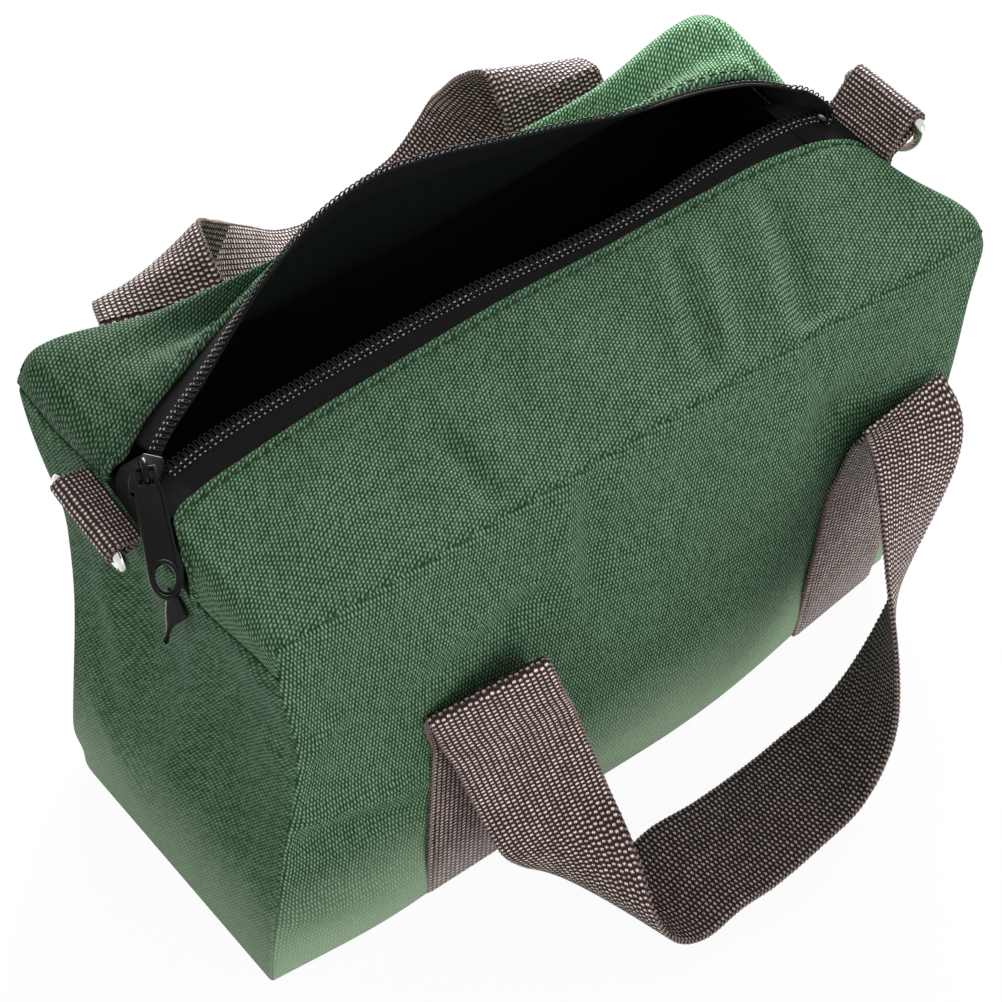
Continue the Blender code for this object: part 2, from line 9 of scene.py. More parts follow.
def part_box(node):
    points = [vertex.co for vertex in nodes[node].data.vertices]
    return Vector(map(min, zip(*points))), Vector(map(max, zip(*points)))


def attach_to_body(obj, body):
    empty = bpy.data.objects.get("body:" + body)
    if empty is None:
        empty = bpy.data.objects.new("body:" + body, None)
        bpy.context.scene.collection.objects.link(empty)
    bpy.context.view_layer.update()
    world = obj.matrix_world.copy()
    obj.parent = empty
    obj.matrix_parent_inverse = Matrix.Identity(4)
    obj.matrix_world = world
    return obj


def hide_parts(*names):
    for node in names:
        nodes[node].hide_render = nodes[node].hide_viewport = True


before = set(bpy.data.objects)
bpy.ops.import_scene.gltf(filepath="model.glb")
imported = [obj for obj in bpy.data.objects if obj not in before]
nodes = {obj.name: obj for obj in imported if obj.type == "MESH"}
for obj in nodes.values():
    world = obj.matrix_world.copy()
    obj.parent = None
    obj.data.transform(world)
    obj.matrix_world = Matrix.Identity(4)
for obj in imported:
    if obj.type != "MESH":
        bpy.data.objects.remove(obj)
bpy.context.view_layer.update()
print("frame loaded:", len(nodes), "nodes")

# Sizes that every panel shares, in metres
bag = {"length": 0.270, "width": 0.125, "height": 0.165, "cloth": 0.0011,
       "frontBow": 0.0045, "frontLeftOut": 0.0020, "frontRightIn": 0.0070, "rearBowIn": 0.0045,
       "rearLeftPull": 0.0165, "rightEndBow": 0.0050, "leftWaist": 0.0042, "leftFootOut": 0.0027,
       "leftEndDent": 0.0030, "hump": 0.0042, "seamHeight": 0.1505, "waistAt": 0.72,
       "foldRadius": 0.0050, "seamDepth": 0.0010, "seamRound": 0.0024, "gridStep": 0.0016}
span = bag["length"]
halfLength = bag["length"] / 2
halfWidth = bag["width"] / 2
topZ = bag["height"]


# Small sums
def smooth(t):
    t = np.clip(t, 0.0, 1.0)
    return t * t * (3 - 2 * t)


def mix(a, b, t):
    return a + (b - a) * t


def lengthAlong(points):
    # the way from the first point to each of the others
    return np.concatenate([[0], np.cumsum(np.linalg.norm(np.diff(points, axis=0), axis=1))])


def readAt(where, run, rows):
    # points or directions between the rows, at the given lengths along them
    return np.stack([np.interp(where, run, rows[:, k]) for k in range(3)], -1)


def curveThrough(rows, count, even=True):
    # a Catmull-Rom curve through rows of numbers, in equal steps where even is set
    rows = np.asarray(rows, float)
    spans = len(rows) - 1

    def at(t):
        i = np.minimum((t * spans).astype(int), spans - 1)
        u = (t * spans - i)[:, None]
        p, q, r, s = (rows[np.clip(i + k, 0, spans)] for k in (-1, 0, 1, 2))
        return 0.5 * (2 * q + (r - p) * u + (2 * p - 5 * q + 4 * r - s) * u ** 2
                      + (3 * q - p - 3 * r + s) * u ** 3)

    if not even:
        return at(np.linspace(0, 1, count))
    dense = np.linspace(0, 1, spans * 24 + 1)
    run = lengthAlong(at(dense))
    return at(np.interp(np.linspace(0, run[-1], count), run, dense))


def stops(low, high, step=None, fineLow=True, fineHigh=True):
    # places from low to high, closer together near the seams
    step = step or bag["gridStep"]
    fine = [0, 0.0002, 0.0005, 0.0009, 0.0014, 0.0019, 0.0025, 0.0033]
    head = [low + f for f in fine] if fineLow else [low]
    tail = [high - f for f in fine][::-1] if fineHigh else [high]
    count = max(2, int(round((tail[0] - head[-1]) / step)))
    middle = np.linspace(head[-1], tail[0], count + 1)[1:-1]
    return np.array(head + list(middle) + tail)


def seamDip(distance):
    # how far cloth rolls inward beside a seam
    t = np.clip(1 - distance / bag["seamRound"], 0, 1)
    return bag["seamDepth"] * (1 - np.sqrt(1 - t * t))


def ridge(u, v, a, b, width, height, fade=0.3):
    # a soft fold of the cloth along the line from a to b; the lengths are shares of the bag's length
    a, b = np.array(a) * span, np.array(b) * span
    ahead = b - a
    long = np.linalg.norm(ahead)
    ahead = ahead / long
    s = (u - a[0]) * ahead[0] + (v - a[1]) * ahead[1]
    d = -(u - a[0]) * ahead[1] + (v - a[1]) * ahead[0]
    ends = smooth((s / long + fade) / (2 * fade)) * smooth((1 + fade - s / long) / (2 * fade))
    return height * np.exp(-(d / width) ** 2) * ends


def rumple(u, v, seed, size, height):
    # slow uneven swell of cloth, a sum of a few waves
    rng = np.random.RandomState(seed)
    total = 0
    for k in range(9):
        turn = rng.uniform(0, math.pi)
        wave = size * rng.uniform(0.6, 1.7)
        phase = rng.uniform(0, 6.28)
        total = total + np.sin((u * math.cos(turn) + v * math.sin(turn)) * 6.283 / wave + phase)
    return total * height / 3


# Materials
class Amount:
    # one output of a material's nodes, with arithmetic
    def __init__(self, paint, socket):
        self.paint = paint
        self.socket = socket

    def __add__(self, other):
        return self.paint.sum("ADD", self, other)

    def __sub__(self, other):
        return self.paint.sum("SUBTRACT", self, other)

    def __rsub__(self, other):
        return self.paint.sum("SUBTRACT", other, self)

    def __mul__(self, other):
        return self.paint.sum("MULTIPLY", self, other)

    def __truediv__(self, other):
        return self.paint.sum("DIVIDE", self, other)

    __radd__ = __add__
    __rmul__ = __mul__


class Paint:
    def __init__(self, name, colour=(0.5, 0.5, 0.5), rough=0.8, metal=0.0):
        self.material = bpy.data.materials.new(name)
        self.material.use_nodes = True
        self.tree = self.material.node_tree
        self.shader = self.tree.nodes["Principled BSDF"]
        self.set("Base Color", (*colour, 1))
        self.set("Roughness", rough)
        self.set("Metallic", metal)

    def set(self, socket, value):
        if isinstance(value, Amount):
            self.tree.links.new(value.socket, self.shader.inputs[socket])
        else:
            self.shader.inputs[socket].default_value = value

    def node(self, kind, settings=None, sockets=None, out=0):
        made = self.tree.nodes.new(kind)
        for key, value in (settings or {}).items():
            if key == "stops":
                ramp = made.color_ramp
                while len(ramp.elements) < len(value):
                    ramp.elements.new(0.5)
                for element, (place, colour) in zip(ramp.elements, value):
                    element.position = place
                    element.color = (*colour, 1)
            else:
                setattr(made, key, value)
        for key, value in (sockets or {}).items():
            if isinstance(value, Amount):
                self.tree.links.new(value.socket, made.inputs[key])
            else:
                made.inputs[key].default_value = value
        return Amount(self, made.outputs[out])

    def sum(self, operation, a, b=None, c=None):
        sockets = {i: v for i, v in enumerate((a, b, c)) if v is not None}
        return self.node("ShaderNodeMath", {"operation": operation}, sockets)

    def between(self, value, low, high):
        # 0 below low and 1 above high, with a smooth rise
        return self.node("ShaderNodeMapRange", {"interpolation_type": "SMOOTHSTEP"},
                         {"Value": value, "From Min": low, "From Max": high})

    def colours(self, share, a, b, way="MIX"):
        a = a if isinstance(a, Amount) else (*a, 1)
        b = b if isinstance(b, Amount) else (*b, 1)
        return self.node("ShaderNodeMix", {"data_type": "RGBA", "blend_type": way}, {0: share, 6: a, 7: b}, 2)

    def shaded(self, body, level):
        grey = self.node("ShaderNodeCombineColor", None, {0: level, 1: level, 2: level})
        return self.colours(1.0, body, grey, "MULTIPLY")

    def nearFloor(self, height):
        # 1 at the floor and 0 above the height: where the pale floor's light washes the cloth out
        place = self.node("ShaderNodeTexCoord", None, None, 3)
        level = self.node("ShaderNodeSeparateXYZ", None, {0: place}, 2)
        return 1.0 - self.between(level, -0.012, height)

    def cloth(self, turn=0.0):
        # the piece's own cloth coordinates in metres
        place = self.node("ShaderNodeUVMap", {"uv_map": "cloth"})
        if turn:
            place = self.node("ShaderNodeMapping", None, {"Vector": place, "Rotation": (0, 0, turn)})
        return (place, self.node("ShaderNodeSeparateXYZ", None, {0: place}, 0),
                self.node("ShaderNodeSeparateXYZ", None, {0: place}, 1))

    def noise(self, place, scale, detail=2.0, roughness=0.5):
        return self.node("ShaderNodeTexNoise", {"noise_dimensions": "3D"},
                         {"Vector": place, "Scale": scale, "Detail": detail, "Roughness": roughness})

    def bump(self, height, distance, strength=1.0, over=None):
        sockets = {"Height": height, "Distance": distance, "Strength": strength}
        if over:
            sockets["Normal"] = over
        return self.node("ShaderNodeBump", None, sockets)


# the weave's dots lie where two slanting waves meet; each wave is given by its turns per metre both ways
weave = {"front": ((775, -80), (-864, -450)), "top": ((-817, 371), (357, -846)),
         "end": ((-874, -550), (227, -320)),
         "gap": (0.010, 0.036, 0.012), "low": (0.055, 0.125, 0.060), "high": (0.230, 0.390, 0.245),
         # pale: the colour of painted floor light on the lowest canvas
         "relief": 0.00030, "rough": 0.88, "pale": (0.33, 0.44, 0.30)}


def canvasPaint(name, waves, paintedLightLevel=1.0, seed=0.0, fade=0.0, second=1.0, crisp=1.0, sunny=0.0):
    # plain weave: the upper yarn of each crossing stands out as a pale dot; the dots are partly the yarn's
    # relief and partly painted light, one set of crossings painted brighter as if it caught the light
    paint = Paint(name, rough=weave["rough"])
    place, u, v = paint.cloth()
    phases = []
    for k, (a, b) in enumerate(waves):
        moved = paint.node("ShaderNodeMapping", None,
                           {"Vector": place, "Location": (3.1 * k + seed, 1.7 * k, 0)})
        phases.append(u * a + v * b + paint.noise(moved, 210.0, 3.0, 0.6) * 0.9)
    phases.append(phases[0] + phases[1])
    first, other, third = (paint.sum("COSINE", phase * (2 * math.pi)) for phase in phases)
    over = (first + other * second + third * 0.5) * (crisp * 0.5 / (1 + second)) + 0.46
    cell = paint.node("ShaderNodeCombineXYZ", None,
                      {0: paint.sum("FLOOR", phases[0]), 1: paint.sum("FLOOR", phases[1])})
    pale = paint.node("ShaderNodeTexWhiteNoise", {"noise_dimensions": "2D"}, {"Vector": cell})
    fibre = paint.noise(place, 1500.0, 3.0, 0.7)
    slow = paint.noise(place, 22.0, 3.0, 0.55)
    tone = over + (pale - 0.5) * 0.22 + (fibre - 0.5) * 0.85
    body = paint.colours(paint.between(tone, 0.10, 0.52), weave["gap"], weave["low"])
    body = paint.colours(paint.between(tone, 0.46, 0.95), body, weave["high"])
    # painted light and shade: the cloth's level is set per piece for how that face is lit, over its own slow
    # mottling
    body = paint.shaded(body, (slow - 0.5) * 0.34 * paintedLightLevel + paintedLightLevel)
    if sunny:
        # painted light and shade: the rear right corner is painted lighter as if lit from behind, and the rear
        # left one darker
        spot = paint.node("ShaderNodeTexCoord", None, None, 3)
        right, left = (paint.node("ShaderNodeVectorMath", {"operation": "DOT_PRODUCT"}, {0: spot, 1: way}, 1)
                       for way in ((0.5, 1.0, 0.0), (-0.6, 1.0, 0.0)))
        cornerLight = paint.between(right, 0.035, 0.115) * sunny - paint.between(left, 0.060, 0.110) * 0.28
        body = paint.shaded(body, cornerLight + 1.0)
    if fade:
        # painted floor light: the lowest canvas is mixed towards the pale colour by the share fade
        body = paint.colours(paint.nearFloor(0.054) * fade, body, weave["pale"])
    paint.set("Base Color", body)
    paint.set("Roughness", 1.0 - over * 0.12)
    paint.set("Normal", paint.bump(over + (fibre - 0.5) * 0.3, weave["relief"], 0.9))
    paint.set("Sheen Weight", 0.03)
    paint.set("Sheen Roughness", 0.4)
    paint.set("Specular IOR Level", 0.2)
    return paint.material


def insideShadePaint(name):
    # the cloth's inner face, painted near black: painted shade for the dark inside of the bag, over the weave's
    # grain
    paint = Paint(name, rough=0.9)
    place, u, v = paint.cloth()
    grain = paint.sum("SINE", u * 3570.0) * paint.sum("SINE", v * 3570.0)
    grain = grain * 0.5 + 0.5
    paint.set("Base Color", paint.colours(grain, (0.0016, 0.0030, 0.0017), (0.0045, 0.0080, 0.0045)))
    paint.set("Normal", paint.bump(grain, 0.0002, 0.5))
    paint.set("Specular IOR Level", 0.1)
    return paint.material


strap = {"cell": (0.00157, 0.00180), "tabCell": (0.00155, 0.00135), "width": 0.040, "thick": 0.0017,
         "gap": (0.022, 0.013, 0.011), "low": (0.140, 0.086, 0.072), "high": (0.860, 0.715, 0.665),
         # pale: the colour of painted floor light on the lowest webbing
         "relief": 0.00055, "pale": (0.62, 0.57, 0.55)}


def webbingPaint(name, paintedLightLevel=1.0, fade=0.0, slide=0.22, cell=strap["cell"]):
    paint = Paint(name, rough=0.7)
    place, u, v = paint.cloth()
    drift = (paint.noise(place, 200.0, 1.0) - 0.5) * 0.30
    row = v / cell[1]
    column = paint.sum("FLOOR", row)
    shift = paint.sum("PINGPONG", column, 1.0) * slide
    along = u / cell[0] + shift + drift
    a = (paint.sum("FRACT", along) - 0.5) / 0.47
    b = (paint.sum("FRACT", row) - 0.5) / 0.49
    reach = a * a * a * a + b * b * b * b
    floatTop = 1.0 - paint.between(reach, 0.05, 0.95)
    core = 1.0 - paint.between(a * a * 3.4 + b * b * 1.3, 0.10, 1.25)
    ply = paint.sum("SINE", (u / 0.00052 + v / 0.00040) * math.pi)
    cellPlace = paint.node("ShaderNodeCombineXYZ", None, {0: paint.sum("FLOOR", along), 1: column})
    pale = paint.node("ShaderNodeTexWhiteNoise", {"noise_dimensions": "2D"}, {"Vector": cellPlace})
    grain = paint.noise(place, 2000.0, 3.0, 0.7)
    # the float tops, brightest in their centres, are painted up to near white: partly the yarn's own pale tone
    # and partly painted highlight
    tone = floatTop * (0.30 + 0.10 * ply) + core * 0.52 + (pale - 0.5) * 0.20 + (grain - 0.5) * 0.60
    body = paint.colours(paint.between(tone, 0.05, 0.45), strap["gap"], strap["low"])
    body = paint.colours(paint.between(tone, 0.48, 0.92), body, strap["high"])
    # painted light and shade: the webbing's level is set per piece for how it is lit, over its own slow
    # mottling
    body = paint.shaded(body, (paint.noise(place, 40.0, 2.0) - 0.5) * 0.30 + paintedLightLevel)
    if fade:
        # painted floor light: the lowest webbing is mixed towards the pale colour by the share fade
        body = paint.colours(paint.nearFloor(0.032) * fade, body, strap["pale"])
    paint.set("Base Color", body)
    paint.set("Roughness", 0.9 - floatTop * 0.40)
    paint.set("Normal", paint.bump(floatTop + ply * 0.10, strap["relief"], 1.0))
    paint.set("Specular IOR Level", 0.35)
    return paint.material


def tapePaint(name):
    paint = Paint(name, rough=0.75)
    place, u, v = paint.cloth()
    turn = paint.sum("PINGPONG", v, 0.0016) * 2.0
    twill = paint.sum("SINE", (u + turn) * (math.pi / 0.00042)) * 0.5 + 0.5
    thread = paint.sum("SINE", v * (math.pi / 0.00030)) * 0.5 + 0.5
    grain = paint.noise(place, 2400.0, 2.0, 0.7)
    tone = twill * 0.5 + thread * 0.2 + grain * 0.5
    dark, light = (0.0015, 0.0015, 0.002), (0.020, 0.020, 0.022)
    paint.set("Base Color", paint.colours(paint.between(tone, 0.35, 1.0), dark, light))
    paint.set("Normal", paint.bump(tone, 0.00018, 0.7))
    paint.set("Specular IOR Level", 0.10)
    return paint.material


def plainPaint(name, colour, rough, metal=0.0, wear=0.0, coat=0.0, grain=900.0, gloss=0.5):
    # a hard finish with faint scuffs
    paint = Paint(name, colour, rough, metal)
    place = paint.node("ShaderNodeTexCoord", None, None, 3)
    scuff = paint.noise(place, grain, 4.0, 0.6)
    patch = paint.noise(place, grain * 0.12, 2.0, 0.5)
    lighter = tuple(min(1.0, c * 1.5 + 0.01) for c in colour)
    paint.set("Base Color", paint.colours(paint.between(scuff * patch, 0.25, 0.50) * wear, colour, lighter))
    paint.set("Roughness", rough + (scuff - 0.5) * 0.16)
    paint.set("Normal", paint.bump(scuff, 0.00003, 0.25))
    paint.set("Coat Weight", coat)
    paint.set("Specular IOR Level", gloss)
    return paint.material


paints = {
    # one canvas and one webbing, each painted at several light levels per piece: painted light and shade for
    # how each face is lit
    "frontCanvas": canvasPaint("front_canvas", weave["front"], 0.79, 0.0, 0.85, 0.7),
    "topCanvas": canvasPaint("top_canvas", weave["top"], 0.83, 5.0, sunny=1.45),
    "endCanvas": canvasPaint("end_canvas", weave["end"], 0.68, 9.0, 0.60, 0.6, 0.55),
    "insideShade": insideShadePaint("canvas_inside_painted_shade"),
    "webbing": webbingPaint("brown_webbing", 1.15, 0.08),
    "stripWebbing": webbingPaint("strip_webbing", 0.90, 0.45),
    # the same webbing painted darker: painted shade for the front handle's face that lies in shadow
    "shadedWebbing": webbingPaint("webbing_painted_shade", 0.60),
    "tabWebbing": webbingPaint("tab_webbing", 1.00, 0.0, 0.0, strap["tabCell"]),
    "knot": plainPaint("webbing_edge_yarn", (0.22, 0.160, 0.143), 0.75, wear=0.9),
    "tape": tapePaint("black_tape"),
    "coil": plainPaint("black_nylon", (0.004, 0.004, 0.005), 0.28, gloss=0.35),
    # pale sewing thread spots by the coil, also standing for the coil's glints: painted highlight
    "glint": plainPaint("zip_thread_painted_glint", (0.34, 0.34, 0.35), 0.5, wear=0.5),
    "enamel": plainPaint("black_enamel", (0.001, 0.001, 0.0012), 0.22, gloss=0.16),
    "nickel": plainPaint("bright_nickel", (0.80, 0.78, 0.75), 0.12, 1.0, wear=0.3),
    "greenThread": plainPaint("green_thread", (0.012, 0.034, 0.015), 0.8, wear=0.3),
    "ochreThread": plainPaint("ochre_thread", (0.23, 0.165, 0.075), 0.6, wear=0.5),
    "cutEdge": plainPaint("cut_tape_edge", (0.42, 0.37, 0.29), 0.9, wear=0.8),
}
print("finishes ready:", len(paints))


# Meshes
def finished(name, verts, faces, finishes, uvs=None, kinds=None, flat=False):
    data = bpy.data.meshes.new(name)
    data.from_pydata([tuple(p) for p in verts], [], faces)
    if uvs is not None:
        layer = data.uv_layers.new(name="cloth")
        index = np.zeros(len(data.loops), int)
        data.loops.foreach_get("vertex_index", index)
        layer.data.foreach_set("uv", np.asarray(uvs, np.float32)[index].ravel())
    for finish in finishes:
        data.materials.append(finish)
    if kinds is not None:
        data.polygons.foreach_set("material_index", np.asarray(kinds, np.int32))
    data.polygons.foreach_set("use_smooth", np.full(len(data.polygons), not flat))
    work = bmesh.new()
    work.from_mesh(data)
    bmesh.ops.recalc_face_normals(work, faces=work.faces[:])
    work.to_mesh(data)
    work.free()
    made = bpy.data.objects.new(name, data)
    bpy.context.scene.collection.objects.link(made)
    return made


def gridNormals(grid):
    normal = np.cross(np.gradient(grid, axis=0), np.gradient(grid, axis=1))
    return normal / np.maximum(np.linalg.norm(normal, axis=2, keepdims=True), 1e-12)


def closedGrid(name, top, low, uv, finishes):
    # joins two grids of points into a closed piece: the first finish is on its top and rim, the last one below
    rows, columns = top.shape[:2]
    count = rows * columns
    ids = np.arange(count).reshape(rows, columns)
    a, b, c, d = ids[:-1, :-1], ids[:-1, 1:], ids[1:, 1:], ids[1:, :-1]
    front = np.stack([a, b, c, d], -1).reshape(-1, 4)
    back = front[:, ::-1] + count
    edge = np.concatenate([ids[0, :], ids[1:, -1], ids[-1, -2::-1], ids[-2:0:-1, 0]])
    after = np.roll(edge, -1)
    rim = np.stack([after, edge, edge + count, after + count], -1)
    kinds = [0] * len(front) + [len(finishes) - 1] * len(back) + [0] * len(rim)
    return finished(name, np.concatenate([top.reshape(-1, 3), low.reshape(-1, 3)]),
                    np.concatenate([front, back, rim]).tolist(), finishes,
                    np.concatenate([uv.reshape(-1, 2)] * 2), kinds)


def sheetMesh(name, outer, uv, thick, finishes, outward):
    # a thin closed piece of cloth from a grid of points; outward is the side that its face looks to
    normal = gridNormals(outer)
    if (normal.reshape(-1, 3).mean(0) * np.array(outward)).sum() < 0:
        normal = -normal
    return closedGrid(name, outer, outer - normal * thick, uv, finishes)


def ringFaces(rings, sides):
    # the faces between rings of points, with a cap at both ends
    faces = []
    for p in range(0, (rings - 1) * sides, sides):
        q = p + sides
        faces += [(p + j, p + (j + 1) % sides, q + (j + 1) % sides, q + j) for j in range(sides)]
    return faces + [tuple(range(sides)), tuple(range((rings - 1) * sides, rings * sides))]


def tubeMesh(name, path, radius, finish, sides=10, closed=False, flatten=1.0, up=(0, 0, 1)):
    # a rod along a path of points; flatten squeezes it along up
    path = np.asarray(path, float)
    count = len(path)
    ahead = np.roll(path, -1, 0) - np.roll(path, 1, 0) if closed else np.gradient(path, axis=0)
    ahead /= np.linalg.norm(ahead, axis=1, keepdims=True)
    side = np.cross(ahead, np.array(up, float))
    side /= np.maximum(np.linalg.norm(side, axis=1, keepdims=True), 1e-9)
    top = np.cross(side, ahead)
    radius = np.broadcast_to(np.asarray(radius, float), (count,))[:, None, None]
    turn = np.arange(sides) * 2 * math.pi / sides
    verts = (path[:, None] + radius * (side[:, None] * np.cos(turn)[None, :, None]
                                       + top[:, None] * np.sin(turn)[None, :, None] * flatten)).reshape(-1, 3)
    faces = ringFaces(count, sides)
    if closed:
        last = (count - 1) * sides
        faces[-2:] = [(last + j, last + (j + 1) % sides, (j + 1) % sides, j) for j in range(sides)]
    return finished(name, verts, faces, [finish])


def copiesTree():
    # puts a copy of one shape on every point, turned by the point's own attribute
    tree = bpy.data.node_groups.new("copies on points", "GeometryNodeTree")
    face = tree.interface
    face.new_socket("Geometry", in_out="INPUT", socket_type="NodeSocketGeometry")
    face.new_socket("Shape", in_out="INPUT", socket_type="NodeSocketObject")
    face.new_socket("Size", in_out="INPUT", socket_type="NodeSocketFloat").default_value = 1.0
    face.new_socket("Spread", in_out="INPUT", socket_type="NodeSocketFloat").default_value = 0.0
    face.new_socket("Finish", in_out="INPUT", socket_type="NodeSocketMaterial")
    face.new_socket("Geometry", in_out="OUTPUT", socket_type="NodeSocketGeometry")
    kinds = {"start": "NodeGroupInput", "shape": "GeometryNodeObjectInfo",
             "turn": "GeometryNodeInputNamedAttribute", "turned": "FunctionNodeEulerToRotation",
             "random": "FunctionNodeRandomValue", "low": "ShaderNodeMath", "high": "ShaderNodeMath",
             "place": "GeometryNodeInstanceOnPoints", "real": "GeometryNodeRealizeInstances",
             "paint": "GeometryNodeSetMaterial", "end": "NodeGroupOutput"}
    n = {key: tree.nodes.new(kind) for key, kind in kinds.items()}
    n["turn"].data_type = "FLOAT_VECTOR"
    n["turn"].inputs["Name"].default_value = "turn"
    n["random"].data_type = "FLOAT"
    n["random"].inputs["Seed"].default_value = 11
    n["low"].operation = "SUBTRACT"
    n["high"].operation = "ADD"
    wires = [("start", "Shape", "shape", "Object"), ("start", "Geometry", "place", "Points"),
             ("shape", "Geometry", "place", "Instance"), ("turn", "Attribute", "turned", 0),
             ("turned", 0, "place", "Rotation"), ("start", "Size", "low", 0), ("start", "Spread", "low", 1),
             ("start", "Size", "high", 0), ("start", "Spread", "high", 1), ("low", 0, "random", 2),
             ("high", 0, "random", 3), ("random", 1, "place", "Scale"), ("place", 0, "real", 0),
             ("real", 0, "paint", "Geometry"), ("start", "Finish", "paint", "Material"),
             ("paint", 0, "end", 0)]
    for a, out, b, into in wires:
        tree.links.new(n[a].outputs[out], n[b].inputs[into])
    return tree


copies = copiesTree()


def placeCopies(name, spots, frames, shape, finish, size=1.0, spread=0.0):
    # frames are rows of three unit vectors: the shape's own x, y and z
    data = bpy.data.meshes.new(name + "_points")
    data.from_pydata([tuple(p) for p in spots], [], [])
    turns = [Matrix([tuple(axis) for axis in f]).transposed().to_euler("XYZ") for f in frames]
    data.attributes.new("turn", "FLOAT_VECTOR", "POINT").data.foreach_set(
        "vector", np.array(turns, np.float32).ravel())
    carrier = bpy.data.objects.new(name + "_points", data)
    bpy.context.scene.collection.objects.link(carrier)
    change = carrier.modifiers.new("copies", "NODES")
    change.node_group = copies
    values = {"Shape": shape, "Size": size, "Spread": spread, "Finish": finish}
    for item in copies.interface.items_tree:
        if item.item_type == "SOCKET" and item.in_out == "INPUT" and item.name in values:
            change[item.identifier] = values[item.name]
    bpy.context.view_layer.update()
    seen = carrier.evaluated_get(bpy.context.evaluated_depsgraph_get())
    mesh = bpy.data.meshes.new_from_object(seen)
    made = bpy.data.objects.new(name, mesh)
    bpy.context.scene.collection.objects.link(made)
    carrier.modifiers.clear()
    bpy.data.objects.remove(carrier)
    mesh.polygons.foreach_set("use_smooth", np.ones(len(mesh.polygons), bool))
    return made


def spindle(name, length, radius, sides=6, rings=5):
    # a short rounded thread or knot along x
    verts = []
    for i in range(rings):
        t = i / (rings - 1) * 2 - 1
        r = radius * math.sqrt(max(0.06, 1 - t ** 4))
        verts += [(t * length / 2, r * math.cos(6.2832 * k / sides), r * math.sin(6.2832 * k / sides))
                  for k in range(sides)]
    return finished(name, verts, ringFaces(rings, sides), [paints["knot"]])


def drop(*shapes):
    for shape in shapes:
        bpy.data.objects.remove(shape)


def attach(made, body, node=None):
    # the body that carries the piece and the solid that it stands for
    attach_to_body(made, body)
    if node:
        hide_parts(node)
    return made


def stitchLine(name, points, normals, finish, pitch=0.0040, length=0.0029, radius=0.00032):
    # a row of thread stitches along points on the bag
    points = np.asarray(points, float)
    normals = np.asarray(normals, float)
    run = lengthAlong(points)
    where = np.arange(pitch / 2, run[-1], pitch)
    spots = readAt(where, run, points)
    ahead = readAt(where + 0.0006, run, points) - spots
    frames = [unitFrame(a, u) for a, u in zip(ahead, readAt(where, run, normals))]
    shape = spindle("thread_shape", length, radius)
    made = placeCopies(name, spots, frames, shape, finish, 1.0, 0.06)
    drop(shape)
    return attach(settle(made), "bag")


def unitFrame(ahead, up):
    x = np.asarray(ahead, float)
    x = x / max(np.linalg.norm(x), 1e-12)
    y = np.cross(np.asarray(up, float), x)
    y = y / max(np.linalg.norm(y), 1e-12)
    return x, y, np.cross(x, y)


# The bag's outline
def endBow(z):
    t = z / topZ
    return bag["rightEndBow"] * 4 * t * (1 - t)


def sideX(side, z):
    if side > 0:
        return halfLength + endBow(z)
    share = z / bag["seamHeight"]
    waist = smooth(share / bag["waistAt"]) * smooth((1 - share) / (1 - bag["waistAt"]))
    return -halfLength + bag["leftWaist"] * waist - bag["leftFootOut"] * (1 - z / topZ) ** 2


def alongFace(x, z):
    left = sideX(-1, z)
    return np.clip(2 * (x - left) / (sideX(1, z) - left) - 1, -1, 1)


def frontY(x, z):
    along = alongFace(x, z)
    low = 1 - z / topZ
    out = bag["frontBow"] * (1 - along ** 2) + bag["frontLeftOut"] * smooth(-along)
    return -halfWidth - out * low + bag["frontRightIn"] * smooth((along - 0.10) / 0.90) * low ** 2


def rearY(x, z):
    along = alongFace(x, z)
    top = bag["rearBowIn"] * (1 - along ** 2) * z / topZ
    left = smooth((-along - 0.35) / 0.65) * smooth((topZ - z) / (0.28 * topZ))
    return halfWidth - top - bag["rearLeftPull"] * left


# where the soft corners puff out or round off: centre, reach and push, as shares of the length
puffs = [
    ((-0.455, 0.215, 0.615), (0.090, 0.060, 0.050), (-0.002, 0.013, 0.020)),
    ((0.440, 0.215, 0.615), (0.100, 0.060, 0.050), (0.002, 0.012, 0.020)),
    ((0.505, -0.190, 0.610), (0.060, 0.070, 0.070), (0.016, -0.002, 0.014)),
    ((-0.500, 0.170, 0.450), (0.050, 0.090, 0.120), (-0.006, 0.006, 0.000)),
    ((-0.350, -0.250, 0.000), (0.120, 0.060, 0.090), (0.000, -0.008, 0.000)),
    ((0.200, -0.240, 0.000), (0.180, 0.060, 0.090), (0.000, -0.006, 0.000)),
    ((-0.485, -0.235, 0.420), (0.050, 0.060, 0.130), (0.006, -0.009, 0.000)),
    ((-0.505, 0.235, 0.615), (0.022, 0.022, 0.024), (0.009, -0.009, -0.010)),
    ((0.505, 0.235, 0.620), (0.022, 0.022, 0.024), (-0.009, -0.009, -0.010)),
    ((0.508, -0.238, 0.615), (0.020, 0.022, 0.024), (-0.010, 0.010, -0.009)),
    ((-0.512, 0.170, 0.000), (0.022, 0.022, 0.030), (0.012, -0.014, 0.004)),
    ((0.505, 0.235, 0.000), (0.022, 0.022, 0.030), (-0.014, -0.014, 0.004))]


def puff(points):
    points = np.asarray(points, float)
    total = np.zeros_like(points)
    for centre, reach, push in puffs:
        far = (((points - np.array(centre) * span) / (np.array(reach) * span)) ** 2).sum(-1)
        total += np.exp(-far)[..., None] * np.array(push) * span
    return points + total


def settle(made):
    # the common puffs and rounded corners, on a finished piece
    verts = made.data.vertices
    points = np.zeros(len(verts) * 3)
    verts.foreach_get("co", points)
    verts.foreach_set("co", puff(points.reshape(-1, 3)).ravel())
    made.data.update()
    return made


# the flap seam on the left end and on the right end: place across, height, as shares of the length
leftSeam = np.array([(-0.232, 0.560), (-0.199, 0.561), (-0.129, 0.551), (-0.076, 0.546), (0.0, 0.565),
                     (0.075, 0.590), (0.151, 0.580), (0.232, 0.583)]) * span
rightSeamZ = 0.5575 * span


def seamZ(side, y):
    return np.interp(y, leftSeam[:, 0], leftSeam[:, 1]) if side < 0 else rightSeamZ + 0 * y


